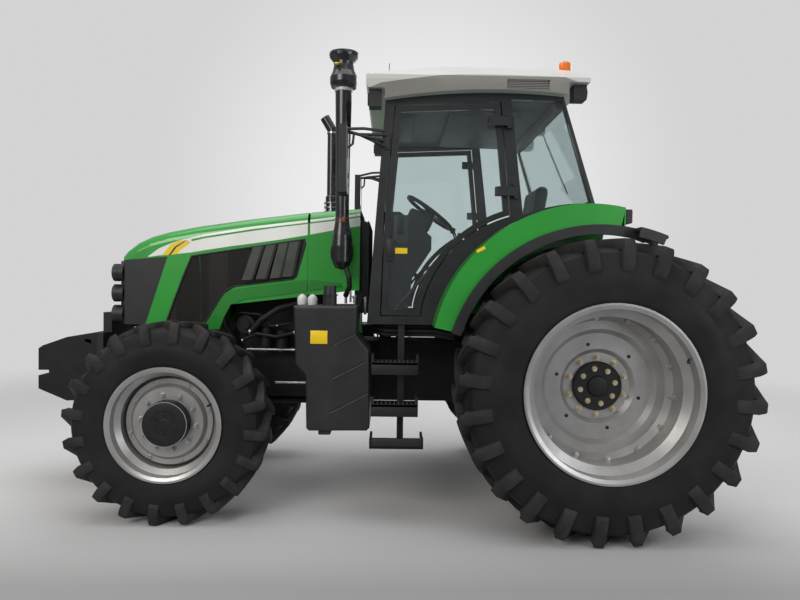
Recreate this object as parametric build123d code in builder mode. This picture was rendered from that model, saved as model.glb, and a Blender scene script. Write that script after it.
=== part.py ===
from build123d import *
import math
import os
from typing import NamedTuple

# Farm tractor with a cab, four driven wheels, a tilting hood and a rear three-point hitch.
# Millimetres. +X forward, +Y to the tractor's left, +Z up, floor at Z = 0.

# ---- Driving dimensions --------------------------------------------------------------
WHEELBASE = 2580
REAR_AXLE_X = -1300
FRONT_AXLE_X = REAR_AXLE_X + WHEELBASE

SEAT_GAP = 0.3  # between two pieces that are bolted or bonded together
RUN_GAP = 0.3  # round a pin or shaft that turns
PIN_FACE_GAP = 1  # between the faces of a hinge's eyes
DOOR_GAP = 8  # between a door and its opening


class WheelSize(NamedTuple):
    axle_x: float
    tip_radius: float  # out to the lugs' tips, which is also the axle's height
    half_width: float  # of the tyre
    centre_y: float  # of the tyre
    tread_half: float
    bulge_radius: float  # where the sidewall is widest
    shoulder_radius: float
    crown_radius: float  # between the lugs
    lugs: int  # on each side
    lug_top: float
    lug_depth: float
    bead_radius: float
    flange_radius: float
    rim_half: float
    drop_radius: float  # of the rim's well
    disc_steps: tuple  # (radius, outer face's distance outboard of the tyre's centre)
    hub_radius: float
    hub_inner_y: float
    hub_outer_y: float
    shaft_radius: float
    shaft_length: float


REAR = WheelSize(
    axle_x=REAR_AXLE_X,
    tip_radius=868,
    half_width=230,
    centre_y=985,
    tread_half=205,
    bulge_radius=640,
    shoulder_radius=795,
    crown_radius=826,
    lugs=24,
    lug_top=60,
    lug_depth=74,
    bead_radius=483,
    flange_radius=508,
    rim_half=228,
    drop_radius=436,
    disc_steps=((431, -20), (395, -62), (345, -62), (318, -92), (225, -92), (200, -117), (0, -117)),
    hub_radius=142,
    hub_inner_y=705,
    hub_outer_y=890,
    shaft_radius=50,
    shaft_length=90,
)
FRONT = WheelSize(
    axle_x=FRONT_AXLE_X,
    tip_radius=608,
    half_width=172,
    centre_y=760,
    tread_half=152,
    bulge_radius=440,
    shoulder_radius=548,
    crown_radius=574,
    lugs=20,
    lug_top=48,
    lug_depth=60,
    bead_radius=322,
    flange_radius=345,
    rim_half=170,
    drop_radius=290,
    disc_steps=((285, 0), (262, 46), (232, 46), (212, 70), (0, 70)),
    hub_radius=135,
    hub_inner_y=744.5,
    hub_outer_y=905,
    shaft_radius=40,
    shaft_length=40,
)
RIM_WALL = 8
FLANGE_WALL = 12
DISC_WALL = 14
LUG_SWEEP = 0.72  # how far a lug trails for each step outwards
LUG_INNER = 2  # from the tread's middle to where a lug starts

KINGPIN_Y = 600
BOSS_RADIUS = 70
BOSS_HALF = 100
KNUCKLE_RADIUS = 80
KNUCKLE_PLATE = 22
KNUCKLE_GAP = 5
TRUNNION_RADIUS = 25
TRUNNION_DEPTH = 40
ARM_BACK = 160  # from the kingpin back to the steering rod's eye
ARM_IN = 80
EYE_RADIUS = 28
STEER_ROD_RADIUS = 16
STEER_ROD_Z = FRONT.tip_radius + 84

AXLE_PIVOT_Z = FRONT.tip_radius + 82
AXLE_PIN_RADIUS = 30

HOOD_HALF = 400
NOSE_HALF = 345
NOSE_X = 1830
HOOD_SKIN = 8
HOOD_REAR_X = 505
HOOD_GAP = 16
HOOD_PIVOT_X = 525
HOOD_PIVOT_Z = 1912
HOOD_PIN_RADIUS = 6
COWL_REAR_X = 157
COWL_SEAM = 396  # the bulkhead's half width where it is welded to the cowl's sides

CAB_HALF = 742
CAB_POST = 50
CAB_BOTTOM = 1212
DOOR_WALL = 30
GLASS = 6

FENDER_X = REAR_AXLE_X + 85
FENDER_Z = REAR.tip_radius + 152
FENDER_RADIUS = REAR.tip_radius + 57
FENDER_INNER_Y = CAB_HALF - 46
FENDER_OUTER_Y = 1000
FENDER_SKIN = 6
LIP_X = REAR_AXLE_X + 31
LIP_Z = REAR.tip_radius + 53
LIP_RADIUS = REAR.tip_radius + 34
LIP_DEPTH = 57
LIP_OUTER_Y = 1030

HINGE_Y = CAB_HALF + 24
HINGE_TOP = (-760, 2465)
HINGE_LOW = (-808, 2040)
HINGE_PIN_RADIUS = 8

LINK_PIVOT = (-1380, 600)
LINK_PIVOT_Y = 230
LINK_BALL = (-2312, 560)
LINK_BALL_Y = 435
LINK_EYE_RADIUS = 40
LINK_BORE_RADIUS = 14.35
ARM_SHAFT = (-1480, 1190)
ARM_END = (-1760, 1250)
ARM_Y = 290
ROD_FOOT_X = -1830

WEIGHT_COUNT = 12
WEIGHT_PITCH = 46
WEIGHT_PLATE = 42


# ---- Helpers -------------------------------------------------------------------------
def side_plane(y):
    """The plane of a side view at this Y: local x is +X, local y is +Z, extrudes to -Y."""
    return Plane.XZ.offset(-y)


def block(xs, ys, zs, mode=Mode.ADD):
    """A box given by its span along each axis."""
    spans = (xs, ys, zs)
    with Locations(tuple(sum(span) / 2 for span in spans)):
        Box(*[abs(span[1] - span[0]) for span in spans], mode=mode)


def rod(start, end, radius, mode=Mode.ADD):
    """A round bar between two points."""
    line = Vector(*end) - Vector(*start)
    with Locations(Plane(origin=start, z_dir=line)):
        Cylinder(radius, line.length, align=(Align.CENTER, Align.CENTER, Align.MIN), mode=mode)


def slab(points, ys, mode=Mode.ADD):
    """A side-view outline of straight edges, extruded between two Y values."""
    with BuildSketch(side_plane(max(ys))) as outline:
        with BuildLine():
            Polyline(*points, close=True)
        make_face()
    extrude(outline.sketch, amount=max(ys) - min(ys), mode=mode)


def mirrored(piece):
    """The same piece on the other side of the tractor."""
    with BuildPart() as other:
        mirror(piece, about=Plane.XZ)
    return other.part


def both_sides(piece):
    """A left piece and its mirror image, in one node."""
    with BuildPart() as pair:
        add(piece)
        mirror(piece, about=Plane.XZ)
    return pair.part


# ---- Wheels --------------------------------------------------------------------------
def wheel_plane(size):
    """Local x is outboard from the tyre's centre, local y is the radius."""
    return Plane(origin=(size.axle_x, size.centre_y, size.tip_radius), x_dir=(0, 1, 0), z_dir=(1, 0, 0))


def wheel_axis(size):
    return Axis((size.axle_x, size.centre_y, size.tip_radius), (0, 1, 0))


def faceted(size, outline):
    """A closed (distance out, radius) outline taken round the axle in flat facets, one for each lug on a side."""
    spokes = []
    for number in range(size.lugs):
        angle = 2 * math.pi * number / size.lugs
        spokes.append(
            [
                (
                    size.axle_x + radius * math.sin(angle),
                    size.centre_y + out,
                    size.tip_radius + radius * math.cos(angle),
                )
                for out, radius in outline
            ]
        )
    faces = []
    for here, there in zip(spokes, spokes[1:] + spokes[:1]):
        for number in range(len(outline)):
            near = (here[number - 1], here[number])
            far = (there[number], there[number - 1])
            faces.append(Face(Wire.make_polygon([*near, *far])))
    return Solid(Shell(faces))


def tyre(size):
    """The left tyre: a faceted carcass with its chevron lugs, whose corners lie on the tip radius."""
    flat = 1 / math.cos(math.pi / size.lugs)
    bead = size.rim_half - FLANGE_WALL - SEAT_GAP
    outer = [
        (bead, (size.bead_radius + SEAT_GAP) * flat),
        (bead, (size.flange_radius + 3) * flat),
        (size.half_width, size.bulge_radius),
        (size.half_width - 8, size.shoulder_radius),
    ]
    trail = LUG_SWEEP * size.tread_half
    corner = (size.lug_top + trail) / 2
    top_height = math.sqrt(size.tip_radius**2 - corner**2)
    pitch = 2 * math.pi / size.lugs
    with BuildPart() as made:
        inner = [(-out, radius) for out, radius in reversed(outer)]
        add(faceted(size, [*outer, (0, size.crown_radius), *inner]))
        for side, phase in ((1, 0), (-1, pitch / 2)):
            planes = []
            for number in range(size.lugs):
                angle = math.pi + math.atan2(corner, top_height) + phase + pitch * number
                across, up = math.sin(angle), math.cos(angle)
                middle = (size.axle_x + across * top_height, size.centre_y, size.tip_radius + up * top_height)
                planes.append(Plane(origin=middle, x_dir=(up, 0, -across), z_dir=(across, 0, up)))
            with BuildSketch(*planes) as tops:
                with BuildLine():
                    Polyline(
                        (corner, -side * LUG_INNER),
                        (corner - trail, -side * size.tread_half),
                        (corner - trail - size.lug_top, -side * size.tread_half),
                        (corner - size.lug_top, -side * LUG_INNER),
                        close=True,
                    )
                make_face()
            extrude(tops.sketch, amount=-size.lug_depth)
    return made.part


def rim(size):
    """The left rim with its disc, hub and the stub that runs in the axle."""
    inside = size.drop_radius - RIM_WALL
    hub_in = size.hub_inner_y - size.centre_y
    hub_out = size.hub_outer_y - size.centre_y
    seat_edge = size.rim_half - FLANGE_WALL
    with BuildPart() as made:
        with BuildSketch(wheel_plane(size)):
            with BuildLine():
                outer = [
                    (size.rim_half, size.flange_radius),
                    (seat_edge, size.flange_radius),
                    (seat_edge, size.bead_radius),
                    (seat_edge * 0.6, size.bead_radius),
                    (seat_edge * 0.5, size.drop_radius),
                ]
                inner = [
                    (seat_edge * 0.5, inside),
                    (seat_edge * 0.6 + RIM_WALL, size.bead_radius - RIM_WALL),
                    (size.rim_half - RIM_WALL, size.bead_radius - RIM_WALL),
                    (size.rim_half, size.flange_radius - FLANGE_WALL),
                ]
                left = [(-x, r) for x, r in outer]
                left_inner = [(-x, r) for x, r in inner]
                Polyline(*outer, *reversed(left), *reversed(left_inner), *inner, close=True)
            make_face()
            with BuildLine():
                face = list(size.disc_steps)
                front = [(offset_y, radius) for radius, offset_y in face]
                back = [(offset_y - DISC_WALL, radius) for radius, offset_y in reversed(face)]
                Polyline(*front, *back, close=True)
            make_face()
            with BuildLine():
                Polyline((hub_in, 0), (hub_in, size.hub_radius), (hub_out, size.hub_radius), (hub_out, 0), close=True)
            make_face()
            with BuildLine():
                Polyline(
                    (hub_in, 0),
                    (hub_in, size.shaft_radius),
                    (hub_in - size.shaft_length, size.shaft_radius),
                    (hub_in - size.shaft_length, 0),
                    close=True,
                )
            make_face()
        revolve(axis=wheel_axis(size))
    return made.part


# ---- Drive train, engine and front frame ----------------------------------------------
with BuildPart() as drivetrain:
    block((-1120, 330), (-175, 175), (640, 1060))
    block((-1620, -1120), (-210, 210), (660, 1130))
    block((-1600, -1150), (-170, 170), (1130, 1240))
    block((150, 330), (-90, 90), (560, 640))
    for side in (1, -1):
        rod((REAR.axle_x, side * 200, REAR.tip_radius), (REAR.axle_x, side * 660, REAR.tip_radius), 115)
        rod((REAR.axle_x, side * 655, REAR.tip_radius), (REAR.axle_x, side * 704.5, REAR.tip_radius), 150)
        rod(
            (REAR.axle_x, side * 705, REAR.tip_radius),
            (REAR.axle_x, side * (705 - REAR.shaft_length - 10), REAR.tip_radius),
            REAR.shaft_radius + RUN_GAP,
            mode=Mode.SUBTRACT,
        )
        block((200, 300), (side * 170, side * (480 - SEAT_GAP)), (760, 840))
        block((120, 180), (side * 170, side * (480 - SEAT_GAP)), (640, 700))
        block((-60, 20), (side * 170, side * 330), (960, 1040))
        block((-60, 20), (side * 250, side * 330), (1000, CAB_BOTTOM - SEAT_GAP))
        block((-1260, -1180), (side * 160, side * 300), (1080, 1130))
        block((-1260, -1180), (side * 220, side * 300), (1080, 1440 - SEAT_GAP))
        block((-1430, -1330), (side * 120, side * 200), (540, 670))
        rod((LINK_PIVOT[0], side * 200, LINK_PIVOT[1]), (LINK_PIVOT[0], side * 262, LINK_PIVOT[1]), 14)
        rod((ARM_SHAFT[0], side * 160, ARM_SHAFT[1]), (ARM_SHAFT[0], side * 330, ARM_SHAFT[1]), 28)
    rod((-1600, 0, 740), (-1620 - 80, 0, 740), 17.5)
    slab([(-1600, 950), (-1600, 1100), (-1690, 1060), (-1690, 990)], (-45, -25))
    slab([(-1600, 950), (-1600, 1100), (-1690, 1060), (-1690, 990)], (25, 45))
    rod((-1660, -60, 1025), (-1660, 60, 1025), 12.9, mode=Mode.SUBTRACT)

with BuildPart() as engine:
    block((330 + SEAT_GAP, 1045 - SEAT_GAP), (-175, 175), (660, 1130))
    block((380, 1030), (-150, 150), (1120, 1500))
    block((1220, 1400), (-290, 290), (1180, 1640))
    block((1180, 1300), (-150, 150), (1060 + SEAT_GAP, 1200))

with BuildPart() as front_frame:
    block((1045, 1905), (-160, 160), (780, 1060))
    block((1900, 1943), (-300, 300), (760, 1100))
    block((1885, 1943), (-200, 200), (1095, 1235))
    for xs in ((1165, 1205 - SEAT_GAP), (1355 + SEAT_GAP, 1410)):
        block(xs, (-70, 70), (656, 785))
    rod((1100, 0, AXLE_PIVOT_Z), (1450, 0, AXLE_PIVOT_Z), AXLE_PIN_RADIUS + SEAT_GAP, mode=Mode.SUBTRACT)

with BuildPart() as front_axle:
    rod((1215, 0, FRONT.tip_radius), (1345, 0, FRONT.tip_radius), 140)
    rod((1060, 0, FRONT.tip_radius), (1220, 0, FRONT.tip_radius), 45)
    rod((330, 0, FRONT.tip_radius), (1070, 0, FRONT.tip_radius), 26)
    rod((1205, 0, AXLE_PIVOT_Z), (1355, 0, AXLE_PIVOT_Z), 62)
    rod((1165, 0, AXLE_PIVOT_Z), (1410, 0, AXLE_PIVOT_Z), AXLE_PIN_RADIUS)
    block((FRONT_AXLE_X - 55, FRONT_AXLE_X + 55), (-560, 560), (553, 663))
    for side in (1, -1):
        low = FRONT.tip_radius - BOSS_HALF
        high = FRONT.tip_radius + BOSS_HALF
        rod((FRONT_AXLE_X, side * KINGPIN_Y, low), (FRONT_AXLE_X, side * KINGPIN_Y, high), BOSS_RADIUS)
        for end, way in ((low, 1), (high, -1)):
            rod(
                (FRONT_AXLE_X, side * KINGPIN_Y, end),
                (FRONT_AXLE_X, side * KINGPIN_Y, end + way * (TRUNNION_DEPTH + 1)),
                TRUNNION_RADIUS + RUN_GAP,
                mode=Mode.SUBTRACT,
            )
        block((FRONT_AXLE_X - ARM_BACK, 1230), (side * 150, side * 180), (640, 700))
    rod((FRONT_AXLE_X - ARM_BACK, -240, STEER_ROD_Z), (FRONT_AXLE_X - ARM_BACK, 240, STEER_ROD_Z), 34)
    rod(
        (FRONT_AXLE_X - ARM_BACK, -250, STEER_ROD_Z),
        (FRONT_AXLE_X - ARM_BACK, 250, STEER_ROD_Z),
        STEER_ROD_RADIUS + RUN_GAP,
        mode=Mode.SUBTRACT,
    )

ARM_LOW = FRONT.tip_radius + BOSS_HALF + KNUCKLE_GAP
with BuildPart() as steering_rod:
    rod_x = FRONT_AXLE_X - ARM_BACK
    eye_y = KINGPIN_Y - ARM_IN
    rod((rod_x, -eye_y, STEER_ROD_Z), (rod_x, eye_y, STEER_ROD_Z), STEER_ROD_RADIUS)
    for side in (1, -1):
        rod(
            (rod_x, side * eye_y, ARM_LOW - PIN_FACE_GAP - 38),
            (rod_x, side * eye_y, ARM_LOW - PIN_FACE_GAP),
            EYE_RADIUS,
        )

with BuildPart() as knuckle_left:
    arm_high = ARM_LOW + KNUCKLE_PLATE
    bottom_high = FRONT.tip_radius - BOSS_HALF - KNUCKLE_GAP
    bottom_low = bottom_high - KNUCKLE_PLATE
    wall_in = KINGPIN_Y + BOSS_RADIUS + KNUCKLE_GAP
    rod((FRONT_AXLE_X, KINGPIN_Y, ARM_LOW), (FRONT_AXLE_X, KINGPIN_Y, arm_high), KNUCKLE_RADIUS)
    rod((FRONT_AXLE_X, KINGPIN_Y, bottom_low), (FRONT_AXLE_X, KINGPIN_Y, bottom_high), KNUCKLE_RADIUS)
    rod((FRONT_AXLE_X, KINGPIN_Y, ARM_LOW), (FRONT_AXLE_X, KINGPIN_Y, ARM_LOW - KNUCKLE_GAP - TRUNNION_DEPTH), TRUNNION_RADIUS)
    rod((FRONT_AXLE_X, KINGPIN_Y, bottom_high), (FRONT_AXLE_X, KINGPIN_Y, bottom_high + KNUCKLE_GAP + TRUNNION_DEPTH), TRUNNION_RADIUS)
    block((FRONT_AXLE_X - 78, FRONT_AXLE_X + 78), (wall_in, 720), (bottom_low, arm_high))
    rod((FRONT_AXLE_X, 715, FRONT.tip_radius), (FRONT_AXLE_X, FRONT.hub_inner_y - 0.5, FRONT.tip_radius), 118)
    rod(
        (FRONT_AXLE_X, FRONT.hub_inner_y, FRONT.tip_radius),
        (FRONT_AXLE_X, FRONT.hub_inner_y - FRONT.shaft_length - 2, FRONT.tip_radius),
        FRONT.shaft_radius + RUN_GAP,
        mode=Mode.SUBTRACT,
    )
    with BuildSketch(Plane.XY.offset(ARM_LOW)):
        with BuildLine():
            Polyline(
                (FRONT_AXLE_X - 10, KINGPIN_Y + 60),
                (rod_x - 12, eye_y + EYE_RADIUS - 4),
                (rod_x + 12, eye_y - EYE_RADIUS + 4),
                (FRONT_AXLE_X + 20, KINGPIN_Y - 60),
                close=True,
            )
        make_face()
        with Locations((rod_x, eye_y)):
            Circle(EYE_RADIUS)
    extrude(amount=KNUCKLE_PLATE)

with BuildPart() as front_weights:
    bar_x = 1943 + SEAT_GAP
    outline = [
        (bar_x, 1101),
        (2159, 1066),
        (2324, 1006),
        (2352, 985),
        (2352, 838),
        (2281, 838),
        (2281, 801),
        (2352, 801),
        (2352, 710),
        (2158, 628),
        (1990, 640),
        (bar_x, 700),
    ]
    half = WEIGHT_COUNT * WEIGHT_PITCH / 2
    for number in range(WEIGHT_COUNT):
        start = number * WEIGHT_PITCH - half + (WEIGHT_PITCH - WEIGHT_PLATE) / 2
        slab(outline, (start, start + WEIGHT_PLATE))
    block((bar_x, 2000), (-half + 10, half - 10), (740, 1000))
    slab([(1990, 1020), (2035, 1035), (2040, 1055), (1995, 1050)], (-half, half), mode=Mode.SUBTRACT)

# ---- Hood and rear cowl ----------------------------------------------------------------
HOOD_STATIONS = (  # x, half width, height of the top, radius of the shoulders
    (100, 400, 1971, 75),
    (500, 400, 1935, 75),
    (900, 396, 1883, 75),
    (1250, 388, 1829, 72),
    (1444, 380, 1790, 70),
    (1560, 373, 1757, 68),
    (1650, 366, 1715, 66),
    (1720, 360, 1662, 64),
    (1775, 355, 1598, 62),
    (1810, 352, 1530, 60),
    (1850, 348, 1400, 58),
)
HOOD_LOW_Z = 1120


def hood_form(inset):
    """The hood and cowl as one solid form, with its walls moved in by the inset."""
    with BuildPart() as form:
        for x, half_width, top, shoulder in HOOD_STATIONS:
            with BuildSketch(Plane.YZ.offset(x)):
                with Locations((0, (top - inset + HOOD_LOW_Z) / 2)):
                    Rectangle(2 * (half_width - inset), top - inset - HOOD_LOW_Z)
                fillet(vertices().sort_by(Axis.Y)[-2:], radius=shoulder - inset)
        loft(ruled=True)
        with BuildSketch(Plane.XY.offset(1000)):
            with BuildLine():
                Polyline((1700, -NOSE_HALF - 60), (0, -NOSE_HALF - 60), (0, NOSE_HALF + 60), (1700, NOSE_HALF + 60))
                ThreePointArc((1700, NOSE_HALF + 60), (NOSE_X, 0), (1700, -NOSE_HALF - 60))
            make_face()
            if inset:
                offset(amount=-inset, mode=Mode.REPLACE)
        extrude(amount=1100, mode=Mode.INTERSECT)
    return form.part


hood_outer = hood_form(0)
hood_inner = hood_form(HOOD_SKIN)
NOSE_REGION = [(1440, 1623), (1719, 1598), (1900, 1590), (1900, 1100), (1611, 1100)]
MESH_REGION = [(1224, 1644), (520, 1748), (578, 1504), (592, 1485), (985, 1429), (1068, 1372), (1200, 1176)]
HOOD_UNDER = [(1800, 1000), (1812, 1165), (1583, 1165), (1445, 1160), (1088, 1141), (1059, 1220), (1012, 1310), (HOOD_REAR_X, 1372), (0, 1372), (0, 1000)]
COWL_UNDER = [(-50, 1000), (-50, 1420), (192, 1414), (380, 1388), (600, 1364), (600, 1000)]


def region(points, inset=0, mode=Mode.INTERSECT):
    """Keep, or cut away, what lies inside a side-view outline across the hood's width."""
    with BuildSketch(side_plane(HOOD_HALF + 100)) as outline:
        with BuildLine():
            Polyline(*points, close=True)
        make_face()
        if inset:
            offset(amount=-inset, mode=Mode.REPLACE)
    extrude(outline.sketch, amount=2 * HOOD_HALF + 200, mode=mode)


with BuildPart() as hood_shell:
    add(hood_outer)
    add(hood_inner, mode=Mode.SUBTRACT)
    block((-100, HOOD_REAR_X), (-600, 600), (900, 2200), mode=Mode.SUBTRACT)
    region(HOOD_UNDER, mode=Mode.SUBTRACT)
    region(NOSE_REGION, mode=Mode.SUBTRACT)
    region(MESH_REGION, mode=Mode.SUBTRACT)
    for side in (1, -1):
        slab([(510, 1898), (545, 1898), (580, 1922), (510, 1930)], (side * 190, side * 215))
        rod(
            (HOOD_PIVOT_X, side * 180, HOOD_PIVOT_Z),
            (HOOD_PIVOT_X, side * 225, HOOD_PIVOT_Z),
            HOOD_PIN_RADIUS + RUN_GAP,
            mode=Mode.SUBTRACT,
        )

LAMP_RADIUS = 58
LAMP_Y = 250
LAMP_HEIGHTS = (1512, 1372, 1231)
with BuildPart() as nose_grille:
    add(hood_outer)
    add(hood_inner, mode=Mode.SUBTRACT)
    region(NOSE_REGION)
    region(HOOD_UNDER, mode=Mode.SUBTRACT)
    for y in (-LAMP_Y, LAMP_Y):
        for z in LAMP_HEIGHTS:
            rod((1700, y, z), (1900, y, z), LAMP_RADIUS + SEAT_GAP, mode=Mode.SUBTRACT)

LOUVRE_WIDTH = 66
LOUVRES = (  # top x, top z, foot x, foot z of each blade's rear edge
    (838, 1672, 862, 1463),
    (742, 1688, 768, 1476),
    (640, 1704, 668, 1490),
    (552, 1716, 580, 1502),
)
with BuildPart() as side_grilles:
    add(hood_outer)
    add(hood_inner, mode=Mode.SUBTRACT)
    region(MESH_REGION)
    for top_x, top_z, foot_x, foot_z in LOUVRES:
        blade = [
            (top_x, top_z),
            (top_x + LOUVRE_WIDTH, top_z - 10),
            (foot_x + LOUVRE_WIDTH, foot_z - 8),
            (foot_x, foot_z),
        ]
        for side in (1, -1):
            slab(blade, (side * (HOOD_HALF - HOOD_SKIN), side * (HOOD_HALF + HOOD_SKIN)))

# A swan neck that passes under the hood's rear edge as the hood swings up.
HOOD_EAR = [
    (440, 1870),
    (535, 1870),
    (535, 1905),
    (533, 1918),
    (517, 1918),
    (515, 1905),
    (489, 1890),
    (482, 1890),
    (480, 1932),
    (440, 1934),
]
with BuildPart() as rear_cowl:
    add(hood_outer)
    add(hood_inner, mode=Mode.SUBTRACT)
    block((HOOD_REAR_X - HOOD_GAP, 2000), (-600, 600), (900, 2200), mode=Mode.SUBTRACT)
    block((0, COWL_REAR_X), (-600, 600), (900, 2200), mode=Mode.SUBTRACT)
    region(COWL_UNDER, mode=Mode.SUBTRACT)
    block((COWL_REAR_X, COWL_REAR_X + HOOD_SKIN), (-385, 385), (1425, 1885))
    block((COWL_REAR_X, COWL_REAR_X + HOOD_SKIN), (-COWL_SEAM, COWL_SEAM), (1425, 1640))
    for side in (1, -1):
        block((COWL_REAR_X, COWL_REAR_X + 45), (side * 90, side * 150), (1060 + SEAT_GAP, 1440))
        slab(HOOD_EAR, (side * 228, side * 240))
        rod((HOOD_PIVOT_X, side * 184, HOOD_PIVOT_Z), (HOOD_PIVOT_X, side * 240, HOOD_PIVOT_Z), HOOD_PIN_RADIUS)

# ---- Intake and exhaust stacks ---------------------------------------------------------
INTAKE = (266, 550)
EXHAUST = (430, -500)


def turned(x, y, outline):
    """A vertical turned piece from its outline of (radius, height)."""
    with BuildSketch(Plane(origin=(x, y, 0), x_dir=(1, 0, 0), z_dir=(0, -1, 0))) as half:
        with BuildLine():
            Polyline((0, outline[0][1]), *outline, (0, outline[-1][1]), close=True)
        make_face()
    revolve(half.sketch, axis=Axis((x, y, 0), (0, 0, 1)))


with BuildPart() as stacks:
    turned(
        *INTAKE,
        [
            (40, 1556), (62, 1600), (66, 1700), (62, 1770), (50, 1830), (43, 1870), (43, 1900), (46, 2300), (53, 2680),
            (53, 2705), (80, 2712), (88, 2740), (88, 2775), (72, 2812), (64, 2850), (66, 2870), (92, 2902), (95, 2918),
            (92, 2931),
        ],
    )
    rod((INTAKE[0], INTAKE[1], 1660), (INTAKE[0], HOOD_HALF + SEAT_GAP, 1660), 50)
    turned(*EXHAUST, [(36, 1640), (48, 1660), (48, 2150), (38, 2160), (38, 2700)])
    rod((EXHAUST[0], EXHAUST[1], 1700), (EXHAUST[0], -HOOD_HALF - SEAT_GAP, 1700), 40)
    rod((EXHAUST[0], EXHAUST[1], 2680), (EXHAUST[0] + 62, EXHAUST[1], 2782), 38)

# ---- Tank, box and steps ---------------------------------------------------------------
SIDE_BOX_IN = 480
SIDE_BOX_OUT = 860
TANK = [(529, 1322), (146, 1328), (150, 1151), (72, 1058), (65, 590), (82, 573), (430, 569), (446, 585), (453, 903), (514, 970)]
with BuildPart() as fuel_tank:
    slab(TANK, (SIDE_BOX_IN, SIDE_BOX_OUT))
    outer = fuel_tank.edges().filter_by(GeomType.LINE).filter_by(lambda e: abs(e.center().Y - SIDE_BOX_OUT) < 1)
    fillet(outer, radius=18)
    rod((320, 750, 1320), (320, 750, 1395), 42)

with BuildPart() as battery_box:
    block((80, 500), (-SIDE_BOX_OUT, -SIDE_BOX_IN), (620, 1120))
    fillet(battery_box.edges().filter_by(lambda e: e.center().Y < 1 - SIDE_BOX_OUT), radius=18)

with BuildPart() as step_left:
    block((-142, -102), (704, 722), (500, CAB_BOTTOM - SEAT_GAP))
    for low, outer_y, xs in ((974, 850, (-227, 58)), (719, 850, (-227, 58)), (484, 930, (-258, 63))):
        block(xs, (715, outer_y), (low, low + 16))
        block((xs[0], xs[0] + 14), (730, outer_y), (low, low + 60))
        block((xs[1] - 14, xs[1]), (730, outer_y), (low, low + 60))

# ---- Cab -------------------------------------------------------------------------------
ROOF_ARC = ((-6, 2585), (-550, 2640), (-1100, 2625))
FLOOR_HALF = CAB_HALF - CAB_POST - SEAT_GAP
BEAM_HALF = CAB_HALF - CAB_POST + 3


def on_fender(x, extra=1):
    """A point just above the fender's skin, at this X."""
    return (x, FENDER_Z + math.sqrt((FENDER_RADIUS + extra) ** 2 - (x - FENDER_X) ** 2))


def on_hinge(z):
    """The hinge line's point at this height."""
    share = (z - HINGE_LOW[1]) / (HINGE_TOP[1] - HINGE_LOW[1])
    return (HINGE_LOW[0] + share * (HINGE_TOP[0] - HINGE_LOW[0]), HINGE_Y, z)


STRAP_HALF = 28
fender_foot = FENDER_X + math.sqrt((FENDER_RADIUS + 1) ** 2 - (CAB_BOTTOM - FENDER_Z) ** 2)
with BuildPart() as cab_frame:
    with BuildSketch(side_plane(CAB_HALF)):
        with BuildLine():
            Polyline((92, CAB_BOTTOM), ROOF_ARC[0])
            ThreePointArc(*ROOF_ARC)
            Polyline(ROOF_ARC[2], (-1312, 1962), on_fender(-1305))
            ThreePointArc(on_fender(-1305), on_fender(-700), (fender_foot, CAB_BOTTOM))
            Line((fender_foot, CAB_BOTTOM), (92, CAB_BOTTOM))
        make_face()
        with BuildLine():
            Polyline((-243, 1290), (-243, 1262), (12, 1262), (-4, 1883), (-62, 2560), (-716, 2592), (-786, 1890))
            ThreePointArc((-786, 1890), (-470, 1713), (-243, 1290))
        make_face(mode=Mode.SUBTRACT)
        with BuildLine():
            Polyline((-778, 2606), (-862, 1900))
            ThreePointArc((-862, 1900), (-1080, 1962), (-1282, 1976))
            Polyline((-1282, 1976), (-1092, 2600), (-778, 2606))
        make_face(mode=Mode.SUBTRACT)
    extrude(amount=CAB_POST)
    mirror(about=Plane.XZ)
    slab([(-8, 2585), (-4, 2530), (-60, 2530), (-80, 2592)], (-BEAM_HALF, BEAM_HALF))
    slab([(-1100, 2625), (-1120, 2565), (-1070, 2565), (-1040, 2625)], (-BEAM_HALF, BEAM_HALF))
    slab([(-1312, 1962), (-1308, 1936), (-1262, 1936), (-1255, 1985), (-1300, 2000)], (-BEAM_HALF, BEAM_HALF))
    slab([(42, 1930), (38, 1985), (-10, 1985), (-10, 1930)], (-BEAM_HALF, BEAM_HALF))
    block((40, 88), (-BEAM_HALF, BEAM_HALF), (CAB_BOTTOM, 1290))
    slab([(84, 1285), (44, 1935), (0, 1935), (40, 1285)], (-430, 430))
    for side in (1, -1):
        for z in (HINGE_TOP[1], HINGE_LOW[1]):
            x = on_hinge(z)[0]
            pin = [(at[0], side * at[1], at[2]) for at in (on_hinge(z - STRAP_HALF - 16), on_hinge(z + STRAP_HALF + 16))]
            rod(*pin, HINGE_PIN_RADIUS)
            for way in (1, -1):
                ear = (z + way * (STRAP_HALF + 3), z + way * (STRAP_HALF + 16))
                block((x - 14 + way * 4, x + 14 + way * 4), (side * (CAB_HALF - 2), side * 780), ear)

with BuildPart() as cab_floor:
    block((-450, 40 - SEAT_GAP), (-FLOOR_HALF, FLOOR_HALF), (CAB_BOTTOM, 1250))
    slab([(-490, CAB_BOTTOM), (-450, CAB_BOTTOM), (-450, 1480), (-1265, 1480), (-1265, 1936 - SEAT_GAP), (-1305, 1936 - SEAT_GAP), (-1305, 1440), (-490, 1440)], (-FLOOR_HALF, FLOOR_HALF))
    block((-1050, -700), (-180, 180), (1480, 1560))

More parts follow.
